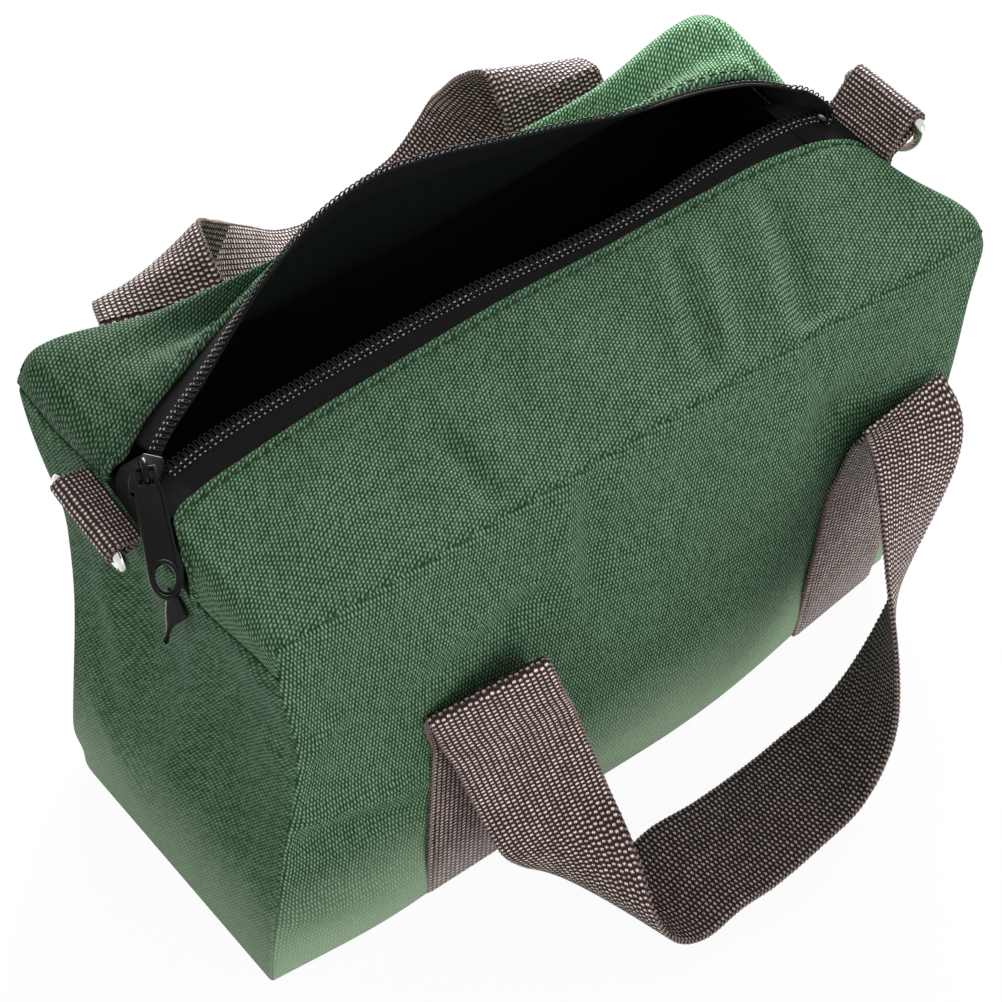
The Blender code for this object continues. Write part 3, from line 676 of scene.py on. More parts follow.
# soft folds of the cloth: from, to (shares of the bag's length), width, height and, for a short one, its fade
folds = {
    "front": [
        ((-0.126, 0.62), (-0.092, 0.38), 0.0065, 0.0011), ((-0.095, 0.60), (-0.062, 0.38), 0.0065, -0.0011),
        ((0.200, 0.61), (0.250, 0.48), 0.0050, 0.0007), ((0.226, 0.61), (0.276, 0.48), 0.0050, -0.0008),
        ((-0.475, 0.300), (-0.311, 0.232), 0.0060, 0.0017), ((-0.475, 0.255), (-0.323, 0.180), 0.0065, -0.0016),
        ((-0.480, 0.115), (-0.330, 0.060), 0.0070, 0.0014), ((-0.479, 0.407), (-0.420, 0.440), 0.0050, 0.0010),
        ((-0.166, 0.472), (-0.149, 0.478), 0.0016, -0.0006, 0.4),
        ((-0.330, 0.400), (-0.130, 0.425), 0.0080, -0.0009), ((0.290, 0.420), (0.455, 0.430), 0.0080, -0.0009)],
    "top": [
        ((-0.283, -0.060), (-0.412, -0.150), 0.0080, 0.0011),
        ((-0.187, -0.084), (-0.198, -0.214), 0.0045, -0.0008),
        ((0.176, -0.031), (0.085, -0.192), 0.0044, 0.0008), ((0.194, -0.042), (0.101, -0.202), 0.0044, -0.0008),
        ((0.233, -0.043), (0.141, -0.196), 0.0040, 0.0007), ((0.252, -0.043), (0.158, -0.200), 0.0036, -0.0005),
        ((0.318, -0.035), (0.213, -0.213), 0.0062, 0.0013), ((0.345, -0.048), (0.235, -0.220), 0.0060, -0.0015),
        ((-0.049, -0.040), (-0.128, -0.145), 0.0060, -0.0006)],
    "end": [
        ((-0.085, 0.50), (-0.020, 0.10), 0.0085, 0.0022), ((-0.140, 0.585), (-0.245, 0.515), 0.0050, 0.0016),
        ((-0.190, 0.400), (-0.250, 0.380), 0.0060, 0.0012), ((-0.150, 0.480), (-0.130, 0.200), 0.0110, -0.0018),
        ((0.107, 0.470), (0.064, 0.210), 0.0070, 0.0014), ((0.050, 0.520), (0.020, 0.300), 0.0080, -0.0014),
        ((0.129, 0.170), (0.012, 0.070), 0.0080, 0.0016)]}
# room in the front face for the handle's inner edges when it is lifted: centre, reach and depth
handleRoom = [((0.310, 0.445), (0.050, 0.060), 0.0042), ((-0.170, 0.430), (0.035, 0.035), 0.0020)]


def swell(face, u, v, strength, seed, size, height):
    # how far a face stands out of its plain shape
    fold = sum(ridge(u, v, *row) for row in folds[face])
    return fold * strength + rumple(u, v, seed, size, height)


def frontSwell(x, z):
    fold = swell("front", x, z, 2.0, 3, 0.060, 0.00050)
    for (a, b), (wide, tall), deep in handleRoom:
        fold = fold - deep * np.exp(-((x / span - a) / wide) ** 2 - ((z / span - b) / tall) ** 2)
    return fold


def topSwell(x, y):
    return swell("top", x, y, 3.1, 8, 0.055, 0.00045)


def endSwell(y, z):
    return swell("end", y, z, 1.5, 21, 0.050, 0.00050)


# Front, rear, end and bottom panels
def makeFaces():
    depth = bag["seamDepth"]
    for name, rear in (("front_panel", False), ("rear_panel", True)):
        zs = stops(depth, topZ - depth)
        shares = stops(0, span) / span
        z, share = np.meshgrid(zs, shares, indexing="ij")
        left = sideX(-1, z) + depth
        right = sideX(1, z) - depth
        x = mix(left, right, share)
        gap = np.minimum(np.minimum(z - depth, topZ - depth - z), np.minimum(x - left, right - x))
        calm = smooth(gap / 0.006)
        if rear:
            y = rearY(x, z) - seamDip(gap) + rumple(x, z, 5, 0.06, 0.0004) * calm
        else:
            y = frontY(x, z) + seamDip(gap) - frontSwell(x, z) * calm
        made = sheetMesh(name + "_cloth", np.stack([x, y, z], -1), np.stack([x, z], -1), bag["cloth"],
                         [paints["frontCanvas"], paints["insideShade"]], (0, 1 if rear else -1, 0))
        closePanel(made, name)

    for name, side in (("left_end_panel", -1), ("right_end_panel", 1)):
        steps = stops(0, bag["height"]) / bag["height"]
        across = stops(0, bag["width"]) / bag["width"]
        v, u = np.meshgrid(steps, across, indexing="ij")
        z = mix(depth, topZ - 0.014, v)
        for again in range(3):
            x = sideX(side, z)
            y = mix(frontY(x, z) + depth, rearY(x, z) - depth, u)
            z = mix(depth, seamZ(side, y) - depth * 0.6, v)
        low = frontY(x, z) + depth
        high = rearY(x, z) - depth
        seam = seamZ(side, y) - depth * 0.6
        gap = np.minimum(np.minimum(z - depth, seam - z), np.minimum(y - low, high - y))
        calm = smooth(gap / 0.008)
        out = endSwell(y, z) * calm if side < 0 else rumple(y, z, 31, 0.05, 0.0004) * calm
        dent = bag["leftEndDent"] * np.sin(math.pi * v) * np.sin(math.pi * u) if side < 0 else 0
        x = x - side * (dent * 0.7 + seamDip(gap) - out)
        made = sheetMesh(name + "_cloth", np.stack([x, y, z], -1), np.stack([y, z], -1), bag["cloth"],
                         [paints["endCanvas"], paints["insideShade"]], (side, 0, 0))
        closePanel(made, name)

    shares = stops(0, span) / span
    across = stops(0, bag["width"]) / bag["width"]
    share, v = np.meshgrid(shares, across, indexing="ij")
    left = sideX(-1, 0) + depth
    x = mix(left, halfLength - depth, share)
    y = mix(frontY(x, 0) + depth, rearY(x, 0) - depth, v)
    gap = np.minimum(np.minimum(x - left, halfLength - depth - x),
                     np.minimum(y - frontY(x, 0) - depth, rearY(x, 0) - depth - y))
    z = seamDip(gap)
    made = sheetMesh("bottom_panel_cloth", np.stack([x, y, z], -1), np.stack([x, y], -1), bag["cloth"],
                     [paints["frontCanvas"], paints["insideShade"]], (0, 0, -1))
    closePanel(made, "bottom_panel")


def closePanel(made, node):
    attach(settle(made), "bag", node)


# Top panels
lips = {
    # along the bag, across it: shares of the length
    "front": np.array([(-0.475, 0.025), (-0.397, 0.039), (-0.262, 0.046), (-0.100, 0.049), (0.000, 0.047),
                       (0.096, 0.040), (0.212, 0.0365), (0.340, 0.0455), (0.437, 0.0455), (0.466, 0.0413),
                       (0.490, 0.0300), (0.503, 0.0120)]) * span,
    "rear": np.array([(-0.475, 0.025), (-0.435, 0.0486), (-0.370, 0.0773), (-0.306, 0.1074), (-0.236, 0.137),
                      (-0.150, 0.162), (-0.068, 0.1704), (0.010, 0.162), (0.090, 0.1472), (0.172, 0.132),
                      (0.257, 0.1148), (0.377, 0.0965), (0.433, 0.0805), (0.463, 0.0650), (0.4883, 0.0479),
                      (0.4978, 0.0355), (0.5035, 0.0210)]) * span,
    # the folded canvas edge in front of the zip, against the way over the top from the middle
    "hem": np.array([(-0.555, -0.084), (-0.530, -0.083), (-0.511, -0.078), (-0.497, -0.060), (-0.483, -0.033),
                     (-0.472, -0.023), (-0.443, -0.014), (-0.378, -0.005), (-0.294, 0.003), (-0.155, 0.010),
                     (-0.004, 0.0150), (0.130, 0.0115), (0.282, 0.0120), (0.403, 0.0080), (0.466, -0.008),
                     (0.500, -0.030), (0.560, -0.036)]) * span,
    "tilt": math.radians(34), "zipY": 0.0050, "tape": 0.0090}


def alongTable(table, x):
    # a smooth reading of a table of places
    xs, ys = table[:, 0], table[:, 1]
    slope = np.gradient(ys, xs)
    i = np.clip(np.searchsorted(xs, x) - 1, 0, len(xs) - 2)
    h = xs[i + 1] - xs[i]
    t = np.clip((x - xs[i]) / h, 0, 1)
    return ((2 * t ** 3 - 3 * t ** 2 + 1) * ys[i] + (t ** 3 - 2 * t ** 2 + t) * h * slope[i]
            + (3 * t ** 2 - 2 * t ** 3) * ys[i + 1] + (t ** 3 - t ** 2) * h * slope[i + 1])


def frontLip(x):
    return np.stack([x, alongTable(lips["front"], x), np.full_like(x, topZ)], -1)


def rearLip(x):
    y = alongTable(lips["rear"], x)
    return np.stack([x, y, topZ + (y - lips["zipY"]) * math.tan(lips["tilt"])], -1)


def rearSide(x):
    # the way from the rear coil to the canvas, flat at the ends and steep in the middle
    raised = (rearLip(x)[..., 2] - topZ) / (bag["width"] * 0.24)
    closing = smooth((x / span - 0.455) / 0.03)
    turn = math.radians(-12) - math.radians(55) * smooth(raised) - math.radians(62) * closing
    turn = np.maximum(turn, math.radians(-78))
    return np.stack([0 * x, np.cos(turn), np.sin(turn)], -1)


def topWay():
    # rows over the top from the left flap's seam to the right one: way from the middle, and its part
    radius = bag["foldRadius"]
    flat = halfLength - radius
    arc = radius * math.pi / 2
    down = 1 - stops(0, 0.014, 0.0014, True, False)[::-1] / 0.014
    rows = [("flap", -1, t) for t in down[::-1][:-1]]
    rows += [("arc", -1, t) for t in np.linspace(1, 0, 8)[:-1]]
    rows += [("flat", 0, x) for x in np.linspace(-flat, flat, 250)]
    rows += [("arc", 1, t) for t in np.linspace(0, 1, 8)[1:]]
    rows += [("flap", 1, t) for t in down[1:]]
    return rows, flat, arc


def topPoint(row, y, flat, arc):
    # position, outward direction, way along, and distance to the flap's seam
    kind, side, t = row
    radius = bag["foldRadius"]
    y = np.asarray(y, float)
    if kind == "flat":
        return (np.stack([t + 0 * y, y, topZ + 0 * y], -1), np.array([0, 0, 1.0]), t, 0.05 + 0 * y)
    drop = topZ - radius - seamZ(side, y) - bag["seamDepth"] * 0.4
    if kind == "arc":
        turn = t * math.pi / 2
        out = np.array([side * math.sin(turn), 0, math.cos(turn)])
        point = np.array([side * flat, 0, topZ - radius]) + out * radius
        return (np.stack([point[0] + 0 * y, y, point[2] + 0 * y], -1), out, side * (flat + t * arc),
                drop + (1 - t) * arc)
    z = topZ - radius - t * drop
    return (np.stack([side * halfLength + 0 * y, y, z], -1), np.array([side, 0, 0.0]),
            side * (flat + arc + t * 0.0105), (1 - t) * drop)


hemShape = {"round": 0.0014, "drop": 0.0014, "stitchIn": 0.0034, "grooveWide": 0.0008, "grooveDeep": 0.00085,
            "rise": 0.0005, "puffs": 0.00045, "puffLong": 0.0085, "stitchRow": -9, "stitchUp": 0.00022}
# places across the hem, from its inner side to the fold; the fourth of them lies in the stitched groove
hemStops = [0.0046, 0.0040, 0.0037, 0.0034, 0.0031, 0.0028, 0.0022, 0.0014, 0.0009, 0.0005, 0.0002, 0]


def hemShapeAt(distance, way, seed=0.0):
    # height of the cloth near a folded and stitched edge
    t = np.clip(1 - distance / hemShape["round"], 0, 1)
    down = -hemShape["drop"] * (1 - np.sqrt(1 - t ** 2))
    fromStitch = (distance - hemShape["stitchIn"]) / hemShape["grooveWide"]
    groove = -hemShape["grooveDeep"] * np.exp(-fromStitch ** 2)
    pull = hemShape["puffs"] * np.exp(-distance / 0.009) * smooth(distance / 0.004) * np.sin(
        way * 6.283 / hemShape["puffLong"] + 1.7 * np.sin(way * 61.0 + seed))
    rise = hemShape["rise"] * smooth(distance / 0.0012) * smooth(
        (hemShape["stitchIn"] + 0.0012 - distance) / 0.0012)
    return down + groove + pull + rise


def makeTopFront():
    rows, flat, arc = topWay()
    depth = bag["seamDepth"]
    outer, uv, hemLine, hemUp = [], [], [], []
    low = -halfWidth + depth
    shares = stops(0, 0.06, 0.0010, True, False) / 0.06
    shares = np.concatenate([shares[shares < 0.918], 1 - np.array(hemStops) / 0.06])
    for row in rows:
        way = topPoint(row, np.array([0.0]), flat, arc)[2]
        edge = alongTable(lips["hem"], np.array([way]))[0]
        y = mix(low, edge, shares)
        point, out, way, toSeam = topPoint(row, y, flat, arc)
        calm = smooth(np.minimum(y - low, toSeam) / 0.006) * smooth((edge - y) / 0.006)
        lift = -seamDip(np.minimum(y - low, toSeam)) + topSwell(point[:, 0], y) * calm
        lift = lift + hemShapeAt(edge - y, way)
        outer.append(point + out * lift[:, None])
        uv.append(np.stack([way + 0 * y, y], -1))
        hemLine.append(outer[-1][hemShape["stitchRow"]] + out * hemShape["stitchUp"])
        hemUp.append(out)
    made = sheetMesh("top_panel_front_cloth", np.array(outer), np.array(uv), bag["cloth"],
                     [paints["topCanvas"], paints["insideShade"]], (0, 0, 1))
    closePanel(made, "top_panel_front")
    stitchLine("top_stitches_front", hemLine[6:-8], hemUp[6:-8], paints["greenThread"])


def makeTopRear():
    rows, flat, arc = topWay()
    depth = bag["seamDepth"]
    outer, uv, hemLine, hemUp = [], [], [], []
    shares = stops(0, 0.05, 0.0014, True, False) / 0.05
    shares = np.concatenate([shares[shares < 0.900], 1 - np.array(hemStops) / 0.05])
    reach = lips["tape"] + 0.0003 + 0.0015
    for row in rows:
        middle = topPoint(row, np.array([0.0]), flat, arc)[0]
        onTop = row[0] != "flap"
        x = np.clip(middle[0, 0], -halfLength * 0.95, halfLength * 0.95)
        at = np.array([x])
        tip = (rearLip(at) + rearSide(at) * reach)[0]
        z0 = middle[0, 2]
        level = smooth((tip[2] - topZ) / (bag["width"] * 0.15)) * (1 if onTop else 0)
        rise = max(tip[2] - topZ, 0) * (1 if onTop else 0)
        start = rearY(middle[0, 0], topZ) - depth
        shoulder = start - 0.0024
        hump = bag["hump"] * {"flat": 1.0, "arc": 0.6, "flap": 0.0}[row[0]]
        plain = [(mix(start, tip[1], t), z0 + hump * math.sin(math.pi * t) + rise * t)
                 for t in np.linspace(0, 1, 5)]
        deep = [plain[0], (shoulder, z0 - 0.0012), (mix(shoulder, tip[1], 0.5), z0 - 0.016),
                (mix(shoulder, tip[1], 0.9), z0), plain[4]]
        bends = mix(np.array(plain), np.array(deep), level)
        line = curveThrough(bends, 61, even=False)
        run = lengthAlong(line)
        y = np.interp(shares * run[-1], run, line[:, 0])
        z = np.interp(shares * run[-1], run, line[:, 1])
        toEdge = (1 - shares) * run[-1]
        fromSeam = shares * run[-1]
        point, out, way, toSeam = topPoint(row, y, flat, arc)
        if row[0] == "flap":
            base, normal = point, np.broadcast_to(out, point.shape)
        else:
            base = np.stack([point[:, 0], y, z], -1)
            normal = np.stack([0 * y, np.gradient(z), -np.gradient(y)], -1)
            normal /= np.linalg.norm(normal, axis=1, keepdims=True)
        if row[0] == "arc":
            normal = normal * out[2] + np.array([out[0], 0, 0])
            normal /= np.linalg.norm(normal, axis=1, keepdims=True)
        near = np.minimum(fromSeam, toSeam)
        calm = smooth(near / 0.006) * smooth(toEdge / 0.006)
        lift = -seamDip(near) + rumple(point[:, 0], y, 14, 0.05, 0.00035) * calm
        lift = lift + hemShapeAt(toEdge, way, 2.0)
        outer.append(base + normal * lift[:, None])
        uv.append(np.stack([way + 0 * y, -fromSeam], -1))
        hemUp.append(normal[hemShape["stitchRow"]])
        hemLine.append(outer[-1][hemShape["stitchRow"]] + hemUp[-1] * hemShape["stitchUp"])
    made = sheetMesh("top_panel_rear_cloth", np.array(outer), np.array(uv), bag["cloth"],
                     [paints["topCanvas"], paints["insideShade"]], (0, 0, 1))
    closePanel(made, "top_panel_rear")
    stitchLine("top_stitches_rear", hemLine[6:-8], hemUp[6:-8], paints["greenThread"])


makeFaces()
makeTopFront()
makeTopRear()
print("canvas made")

# Zip
zipper = {"pitch": 0.00205, "thick": 0.0007, "left": -0.1222, "right": 0.1354, "underHem": 0.0022}


def toothShape():
    # one turn of the coil: its head and two legs, seen from above as a narrow hairpin
    way = np.array([(-0.50, 2.90, 0.30), (-0.56, 1.70, 0.75), (-0.58, 0.30, 0.95), (-0.52, -0.55, 0.95),
                    (-0.28, -1.05, 0.85), (0.06, -1.15, 0.70), (0.36, -0.85, 0.55), (0.50, -0.20, 0.45),
                    (0.56, 1.50, 0.35), (0.60, 2.80, 0.20)]) * 0.001
    return tubeMesh("tooth_shape", way, 0.00026, paints["coil"], sides=6)


def tapeGrid(near, far, count):
    shares = np.linspace(0, 1, count)[None, :, None]
    return near[:, None] * (1 - shares) + far[:, None] * shares


def makeZip():
    x = np.linspace(zipper["left"], zipper["right"], 260)
    tooth = toothShape()
    knot = spindle("glint_shape", 0.00075, 0.00024, 6, 4)
    for name, rear in (("front", False), ("rear", True)):
        lip = rearLip(x) if rear else frontLip(x)
        side = rearSide(x) if rear else np.tile([0, -1.0, 0], (len(x), 1))
        up = np.stack([0 * x, -side[:, 2], side[:, 1]], -1) * (1 if rear else -1)
        reach = lips["tape"] + 0.0018 + zipper["underHem"] if rear else \
            lip[:, 1] - alongTable(lips["hem"], x) + zipper["underHem"]
        reach = (reach * (1 - 0.5 * smooth((x / span - 0.465) / 0.03) * rear))[:, None]
        base = lip - up * 0.0009
        outer = tapeGrid(base - side * 0.0003, base + side * reach - up * 0.0007, 14)
        along = lengthAlong(lip)
        uv = np.stack([np.broadcast_to(along[:, None], outer.shape[:2]),
                       np.linspace(0, 1, 14)[None, :] * reach], -1)
        made = sheetMesh("zip_tape_%s_cloth" % name, outer, uv, zipper["thick"], [paints["tape"]],
                         tuple(up.mean(0)))
        attach(made, "bag", "zip_tape_" + name)

        where = np.arange(along[0] + 0.0012, along[-1] - 0.0008, zipper["pitch"])
        if rear:
            where = where + zipper["pitch"] / 2
        spots = readAt(where, along, lip)
        ahead = readAt(where + 0.001, along, lip) - spots
        frames = []
        for a, s in zip(ahead, readAt(where, along, side)):
            a = a / max(np.linalg.norm(a), 1e-9)
            s = s - a * np.dot(s, a)
            s = s / np.linalg.norm(s)
            third = np.cross(a, s)
            if third[2] < 0:
                a, third = -a, -third
            frames.append((a, s, third))
        ups = np.array([f[2] for f in frames])
        made = placeCopies("zip_coil_%s_teeth" % name, spots - ups * 0.0008, frames, tooth, paints["coil"],
                           1.0, 0.02)
        attach(made, "bag", "zip_coil_" + name)
        backs = np.array([f[1] for f in frames])
        # two rows of sewing thread spots, painted pale in part as painted glints of the coil
        for row, back, low in (("near", 0.0021, 0.0001), ("far", 0.0037, 0.0003)):
            made = placeCopies("zip_%s_thread_%s" % (name, row), spots + backs * back - ups * low, frames, knot,
                               paints["glint"], 1.0, 0.25)
            attach(made, "bag")
    drop(tooth, knot)


makeZip()
print("zip made")

# Tape ends
# where each end's tape lies across the bag: at its start on top and at its foot on the end
tapeEnds = {
    "left": {"side": -1, "top": (-0.0070, 0.0165), "foot": (-0.0185, 0.0135), "drop": 0.0125},
    "right": {"side": 1, "top": (-0.0125, 0.0215), "foot": (-0.0125, 0.0140), "drop": 0.0060},
    "start": 0.0102, "thick": 0.0007, "columns": 12}
# the loose end's two edges on the left end, across and height, as shares of the length
tailCut = {"left": ((-0.049, 0.531), (-0.051, 0.522), (-0.052, 0.510), (-0.053, 0.497), (-0.057, 0.483),
                    (-0.060, 0.460)),
           "right": ((-0.068, 0.534), (-0.074, 0.531), (-0.081, 0.527), (-0.087, 0.522), (-0.068, 0.490),
                     (-0.0605, 0.460)),
           "rows": 22, "columns": 8, "flat": (0.010, 0.016)}


def makeTapeEnd(name):
    facts = tapeEnds[name]
    side = facts["side"]
    radius = bag["foldRadius"] - 0.0010
    flat = halfLength - bag["foldRadius"]
    way = [(flat - tapeEnds["start"], topZ - 0.0008)]
    way += [(flat + radius * math.sin(t), topZ - bag["foldRadius"] + radius * math.cos(t))
            for t in np.linspace(0, math.pi / 2, 9)]
    way += [(flat + radius, topZ - bag["foldRadius"] - d) for d in np.linspace(0.001, facts["drop"], 8)]
    columns = tapeEnds["columns"]
    rows = []
    for i, (x, z) in enumerate(way):
        t = smooth(i / (len(way) - 1) * 1.6)
        low, high = (mix(facts["top"][k], facts["foot"][k], t) for k in (0, 1))
        rows.append([(side * x, mix(low, high, k / columns), z) for k in range(columns + 1)])
    outer = np.array(rows)
    along = lengthAlong(outer[:, columns // 2])
    uv = np.stack([np.broadcast_to(along[:, None], outer.shape[:2]), outer[..., 1]], -1)
    made = sheetMesh("zip_end_%s_cloth" % name, outer, uv, tapeEnds["thick"], [paints["tape"]],
                     (side * 0.7, 0, 0.7))
    attach(made, "bag")


def makeTail():
    # the loose end: a cut corner of tape that sticks out below the flap
    count, columns = tailCut["rows"], tailCut["columns"]
    a, b = (curveThrough(np.array(tailCut[edge]) * span, count) for edge in ("left", "right"))
    rows = []
    for i in range(count):
        t = i / (count - 1)
        off = 0.0010 + 0.0026 * t
        rows.append([(-halfLength - off - 0.0012 * math.sin(math.pi * k / columns) * t,
                      mix(a[i, 0], b[i, 0], k / columns), mix(a[i, 1], b[i, 1], k / columns))
                     for k in range(columns + 1)])
    outer = np.array(rows)
    made = sheetMesh("zip_tail_cloth", outer, outer[..., 1:], tapeEnds["thick"], [paints["tape"]], (-1, 0, 0))
    attach(made, "bag", "zip_tail")
    edge = outer[5:, 0] + np.array([-0.0003, 0.0001, 0])
    thick = 0.00016 + 0.00006 * np.sin(np.arange(len(edge)) * 2.3)
    made = tubeMesh("zip_tail_cut_edge", edge, thick, paints["cutEdge"], sides=6, up=(1, 0, 0))
    attach(made, "bag")


def makeEndStop():
    # the small clamp that closes the zip at its right end
    low, high = (np.array(corner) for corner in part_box("zip_end_stop"))
    middle, half = (low + high) / 2, (high - low) / 2
    outline = [(half[0] * 0.6 * math.cos(t), half[1] * 0.5 * math.sin(t))
               for t in np.linspace(0, 6.2832, 17)[:-1]]
    made = prism("zip_end_clamp", outline, -half[2] * 0.8, half[2] * 0.6, np.eye(3), middle, paints["coil"])
    softenEdges(made, 0.0003)
    attach(made, "bag", "zip_end_stop")


def makeInnerSeams():
    # bound seam allowances on the inside, along every seam of the box, in the near-black inside colour: painted
    # shade, and they also keep light out of the bag
    inset = bag["cloth"] + 0.0016
    heights = np.linspace(inset, topZ - inset, 12)
    runs = []
    for side in (-1, 1):
        for face, way in ((frontY, 1), (rearY, -1)):
            x = sideX(side, heights) - side * inset
            runs.append(np.stack([x, face(x, heights) + way * inset, heights], -1))
        share = np.linspace(0, 1, 10)
        for z in (inset, None):
            x = sideX(side, inset) if z else side * halfLength
            low, high = frontY(x, inset) + inset, rearY(x, inset) - inset
            if z is None:
                low, high = -halfWidth + inset, rearY(x, topZ) - inset
            y = mix(low, high, share)
            level = np.full(10, z) if z else seamZ(side, y) - 0.0004
            runs.append(np.stack([np.full(10, x - side * inset), y, level], -1))
    for face, way in ((frontY, 1), (rearY, -1)):
        for z in (inset, topZ - inset):
            x = np.linspace(sideX(-1, z) + inset, halfLength - inset, 24)
            runs.append(np.stack([x, face(x, z) + way * inset, np.full(24, z)], -1))
    for k, run in enumerate(runs):
        made = tubeMesh("inner_seam_%d" % k, puff(run), 0.0016, paints["insideShade"], sides=8)
        attach(made, "bag")


makeTapeEnd("left")
makeTapeEnd("right")
makeTail()
makeInnerSeams()
print("tape ends and inner seams made")

# Slider and pull
slide = {"spot": (-halfLength + 0.0050, 0.0050, topZ + 0.0014), "yaw": 38, "pullYaw": 64, "length": 0.0120,
         "width": 0.0090, "height": 0.0040, "bailReach": 0.00455, "bailRise": 0.0040, "bailRadius": 0.00085,
         # half outlines as shares of the length and width; the slider's nose looks to the closed end
         "plate": [(0.50, 0.20), (0.46, 0.33), (0.25, 0.45), (0.0, 0.49), (-0.35, 0.47), (-0.62, 0.40),
                   (-0.72, 0.34)],
         "rail": [(0.20, 0.47), (0.0, 0.495), (-0.35, 0.47), (-0.66, 0.38), (-0.66, 0.31), (-0.35, 0.40),
                  (0.0, 0.425), (0.20, 0.40)]}


def levelAxes(turn):
    turn = math.radians(turn)
    return (np.array([-math.cos(turn), -math.sin(turn), 0]), np.array([math.sin(turn), -math.cos(turn), 0]),
            np.array([0, 0, 1.0]))


def softenEdges(made, width, segments=2, angle=40):
    bevel = made.modifiers.new("soft edges", "BEVEL")
    bevel.width = width
    bevel.segments = segments
    bevel.limit_method = "ANGLE"
    bevel.angle_limit = math.radians(angle)
    bpy.context.view_layer.update()
    mesh = bpy.data.meshes.new_from_object(made.evaluated_get(bpy.context.evaluated_depsgraph_get()))
    old = made.data
    made.modifiers.clear()
    made.data = mesh
    bpy.data.meshes.remove(old)
    mesh.polygons.foreach_set("use_smooth", np.ones(len(mesh.polygons), bool))
    mesh.set_sharp_from_angle(angle=math.radians(35))
    return made


def prism(name, outline, low, high, axes, spot, finish, taper=1.0):
    # an upright block with the given outline, in the axes' own directions
    spot = np.array(spot)
    ring = []
    for level, grow in ((low, 1.0), (high, taper)):
        ring.append([spot + axes[0] * a * grow + axes[1] * b * grow + axes[2] * level for a, b in outline])
    count = len(outline)
    verts = ring[0] + ring[1]
    faces = [(i, (i + 1) % count, count + (i + 1) % count, count + i) for i in range(count)]
    faces += [tuple(range(count)), tuple(range(count, 2 * count))]
    return finished(name, verts, faces, [finish], flat=True)


def makeSlider():
    axes = levelAxes(slide["yaw"])
    long, wide, high = slide["length"], slide["width"], slide["height"]
    half = slide["plate"]
    outline = [(a * long, b * wide) for a, b in half] + [(a * long, -b * wide) for a, b in half[::-1]]
    plate = prism("slider_top_plate", outline, high * 0.66, high, axes, slide["spot"], paints["enamel"], 0.94)
    softenEdges(plate, 0.0005, 3)
    base = prism("slider_base_plate", outline, 0.0, high * 0.26, axes, slide["spot"], paints["enamel"])
    softenEdges(base, 0.0003)
    wedge = [(a * long * 0.34 + long * 0.20, b * wide * 0.34)
             for a, b in ((0.5, 0.5), (-0.5, 0.28), (-0.5, -0.28), (0.5, -0.5))]
    post = prism("slider_post", wedge, high * 0.2, high * 0.7, axes, slide["spot"], paints["enamel"])
    walls = [prism("slider_rail_" + letter, [(a * long, b * wide * side) for a, b in slide["rail"]],
                   high * 0.2, high * 0.8, axes, slide["spot"], paints["enamel"])
             for letter, side in (("a", -1), ("b", 1))]
    attach(plate, "slider", "slider_body")
    for piece in [base, post] + walls:
        attach(piece, "slider")

    ahead, across, up = levelAxes(slide["pullYaw"])
    floor = np.array(slide["spot"]) + up * (high + 0.0001)
    path = []
    for t in np.linspace(0, math.pi, 17):
        out = ahead * slide["bailReach"] * math.cos(t) * (1 - 0.06 * math.sin(t) ** 2)
        path.append(floor + out + up * (slide["bailRise"] * math.sin(t) ** 0.7))
    made = tubeMesh("slider_bail", path, slide["bailRadius"], paints["enamel"], up=across, flatten=1.25)
    attach(made, "slider", "slider_bridge")


def pullFrame():
    ahead, across, up = levelAxes(slide["pullYaw"])
    tilt = math.radians(4)
    ahead = ahead * math.cos(tilt) - up * math.sin(tilt)
    out = np.cross(across, ahead)
    if out[2] < 0:
        out = -out
    pivot = np.array(slide["spot"]) + np.array([0, 0, 0.0040 + 0.0034 - 0.0006])
    return pivot, across, ahead, out


def loopMesh(name, loops, low, high, frameOf, finish):
    # a plate with holes between two levels
    pivot, across, ahead, out = frameOf
    work = bmesh.new()
    edges = []
    for loop in loops:
        ring = [work.verts.new((a, b, low)) for a, b in loop]
        edges += [work.edges.new((ring[i - 1], ring[i])) for i in range(len(ring))]
    bmesh.ops.triangle_fill(work, edges=edges, use_beauty=True, normal=(0, 0, 1))
    raised = bmesh.ops.extrude_face_region(work, geom=work.faces[:])
    bmesh.ops.translate(work, verts=[v for v in raised["geom"] if isinstance(v, bmesh.types.BMVert)],
                        vec=(0, 0, high - low))
    turn = Matrix((tuple(across), tuple(ahead), tuple(out))).transposed().to_4x4()
    bmesh.ops.transform(work, matrix=Matrix.Translation(tuple(pivot)) @ turn, verts=work.verts[:])
    bmesh.ops.recalc_face_normals(work, faces=work.faces[:])
    data = bpy.data.meshes.new(name)
    work.to_mesh(data)
    work.free()
    data.materials.append(finish)
    made = bpy.data.objects.new(name, data)
    bpy.context.scene.collection.objects.link(made)
    return made


pull = {"length": 0.0445, "half": 0.0045, "bow": 0.0071, "neck": 0.0033, "hole": (0.0027, 0.0048),
        "plate": (-0.00045, 0.00045), "rim": (0.0003, 0.00085)}


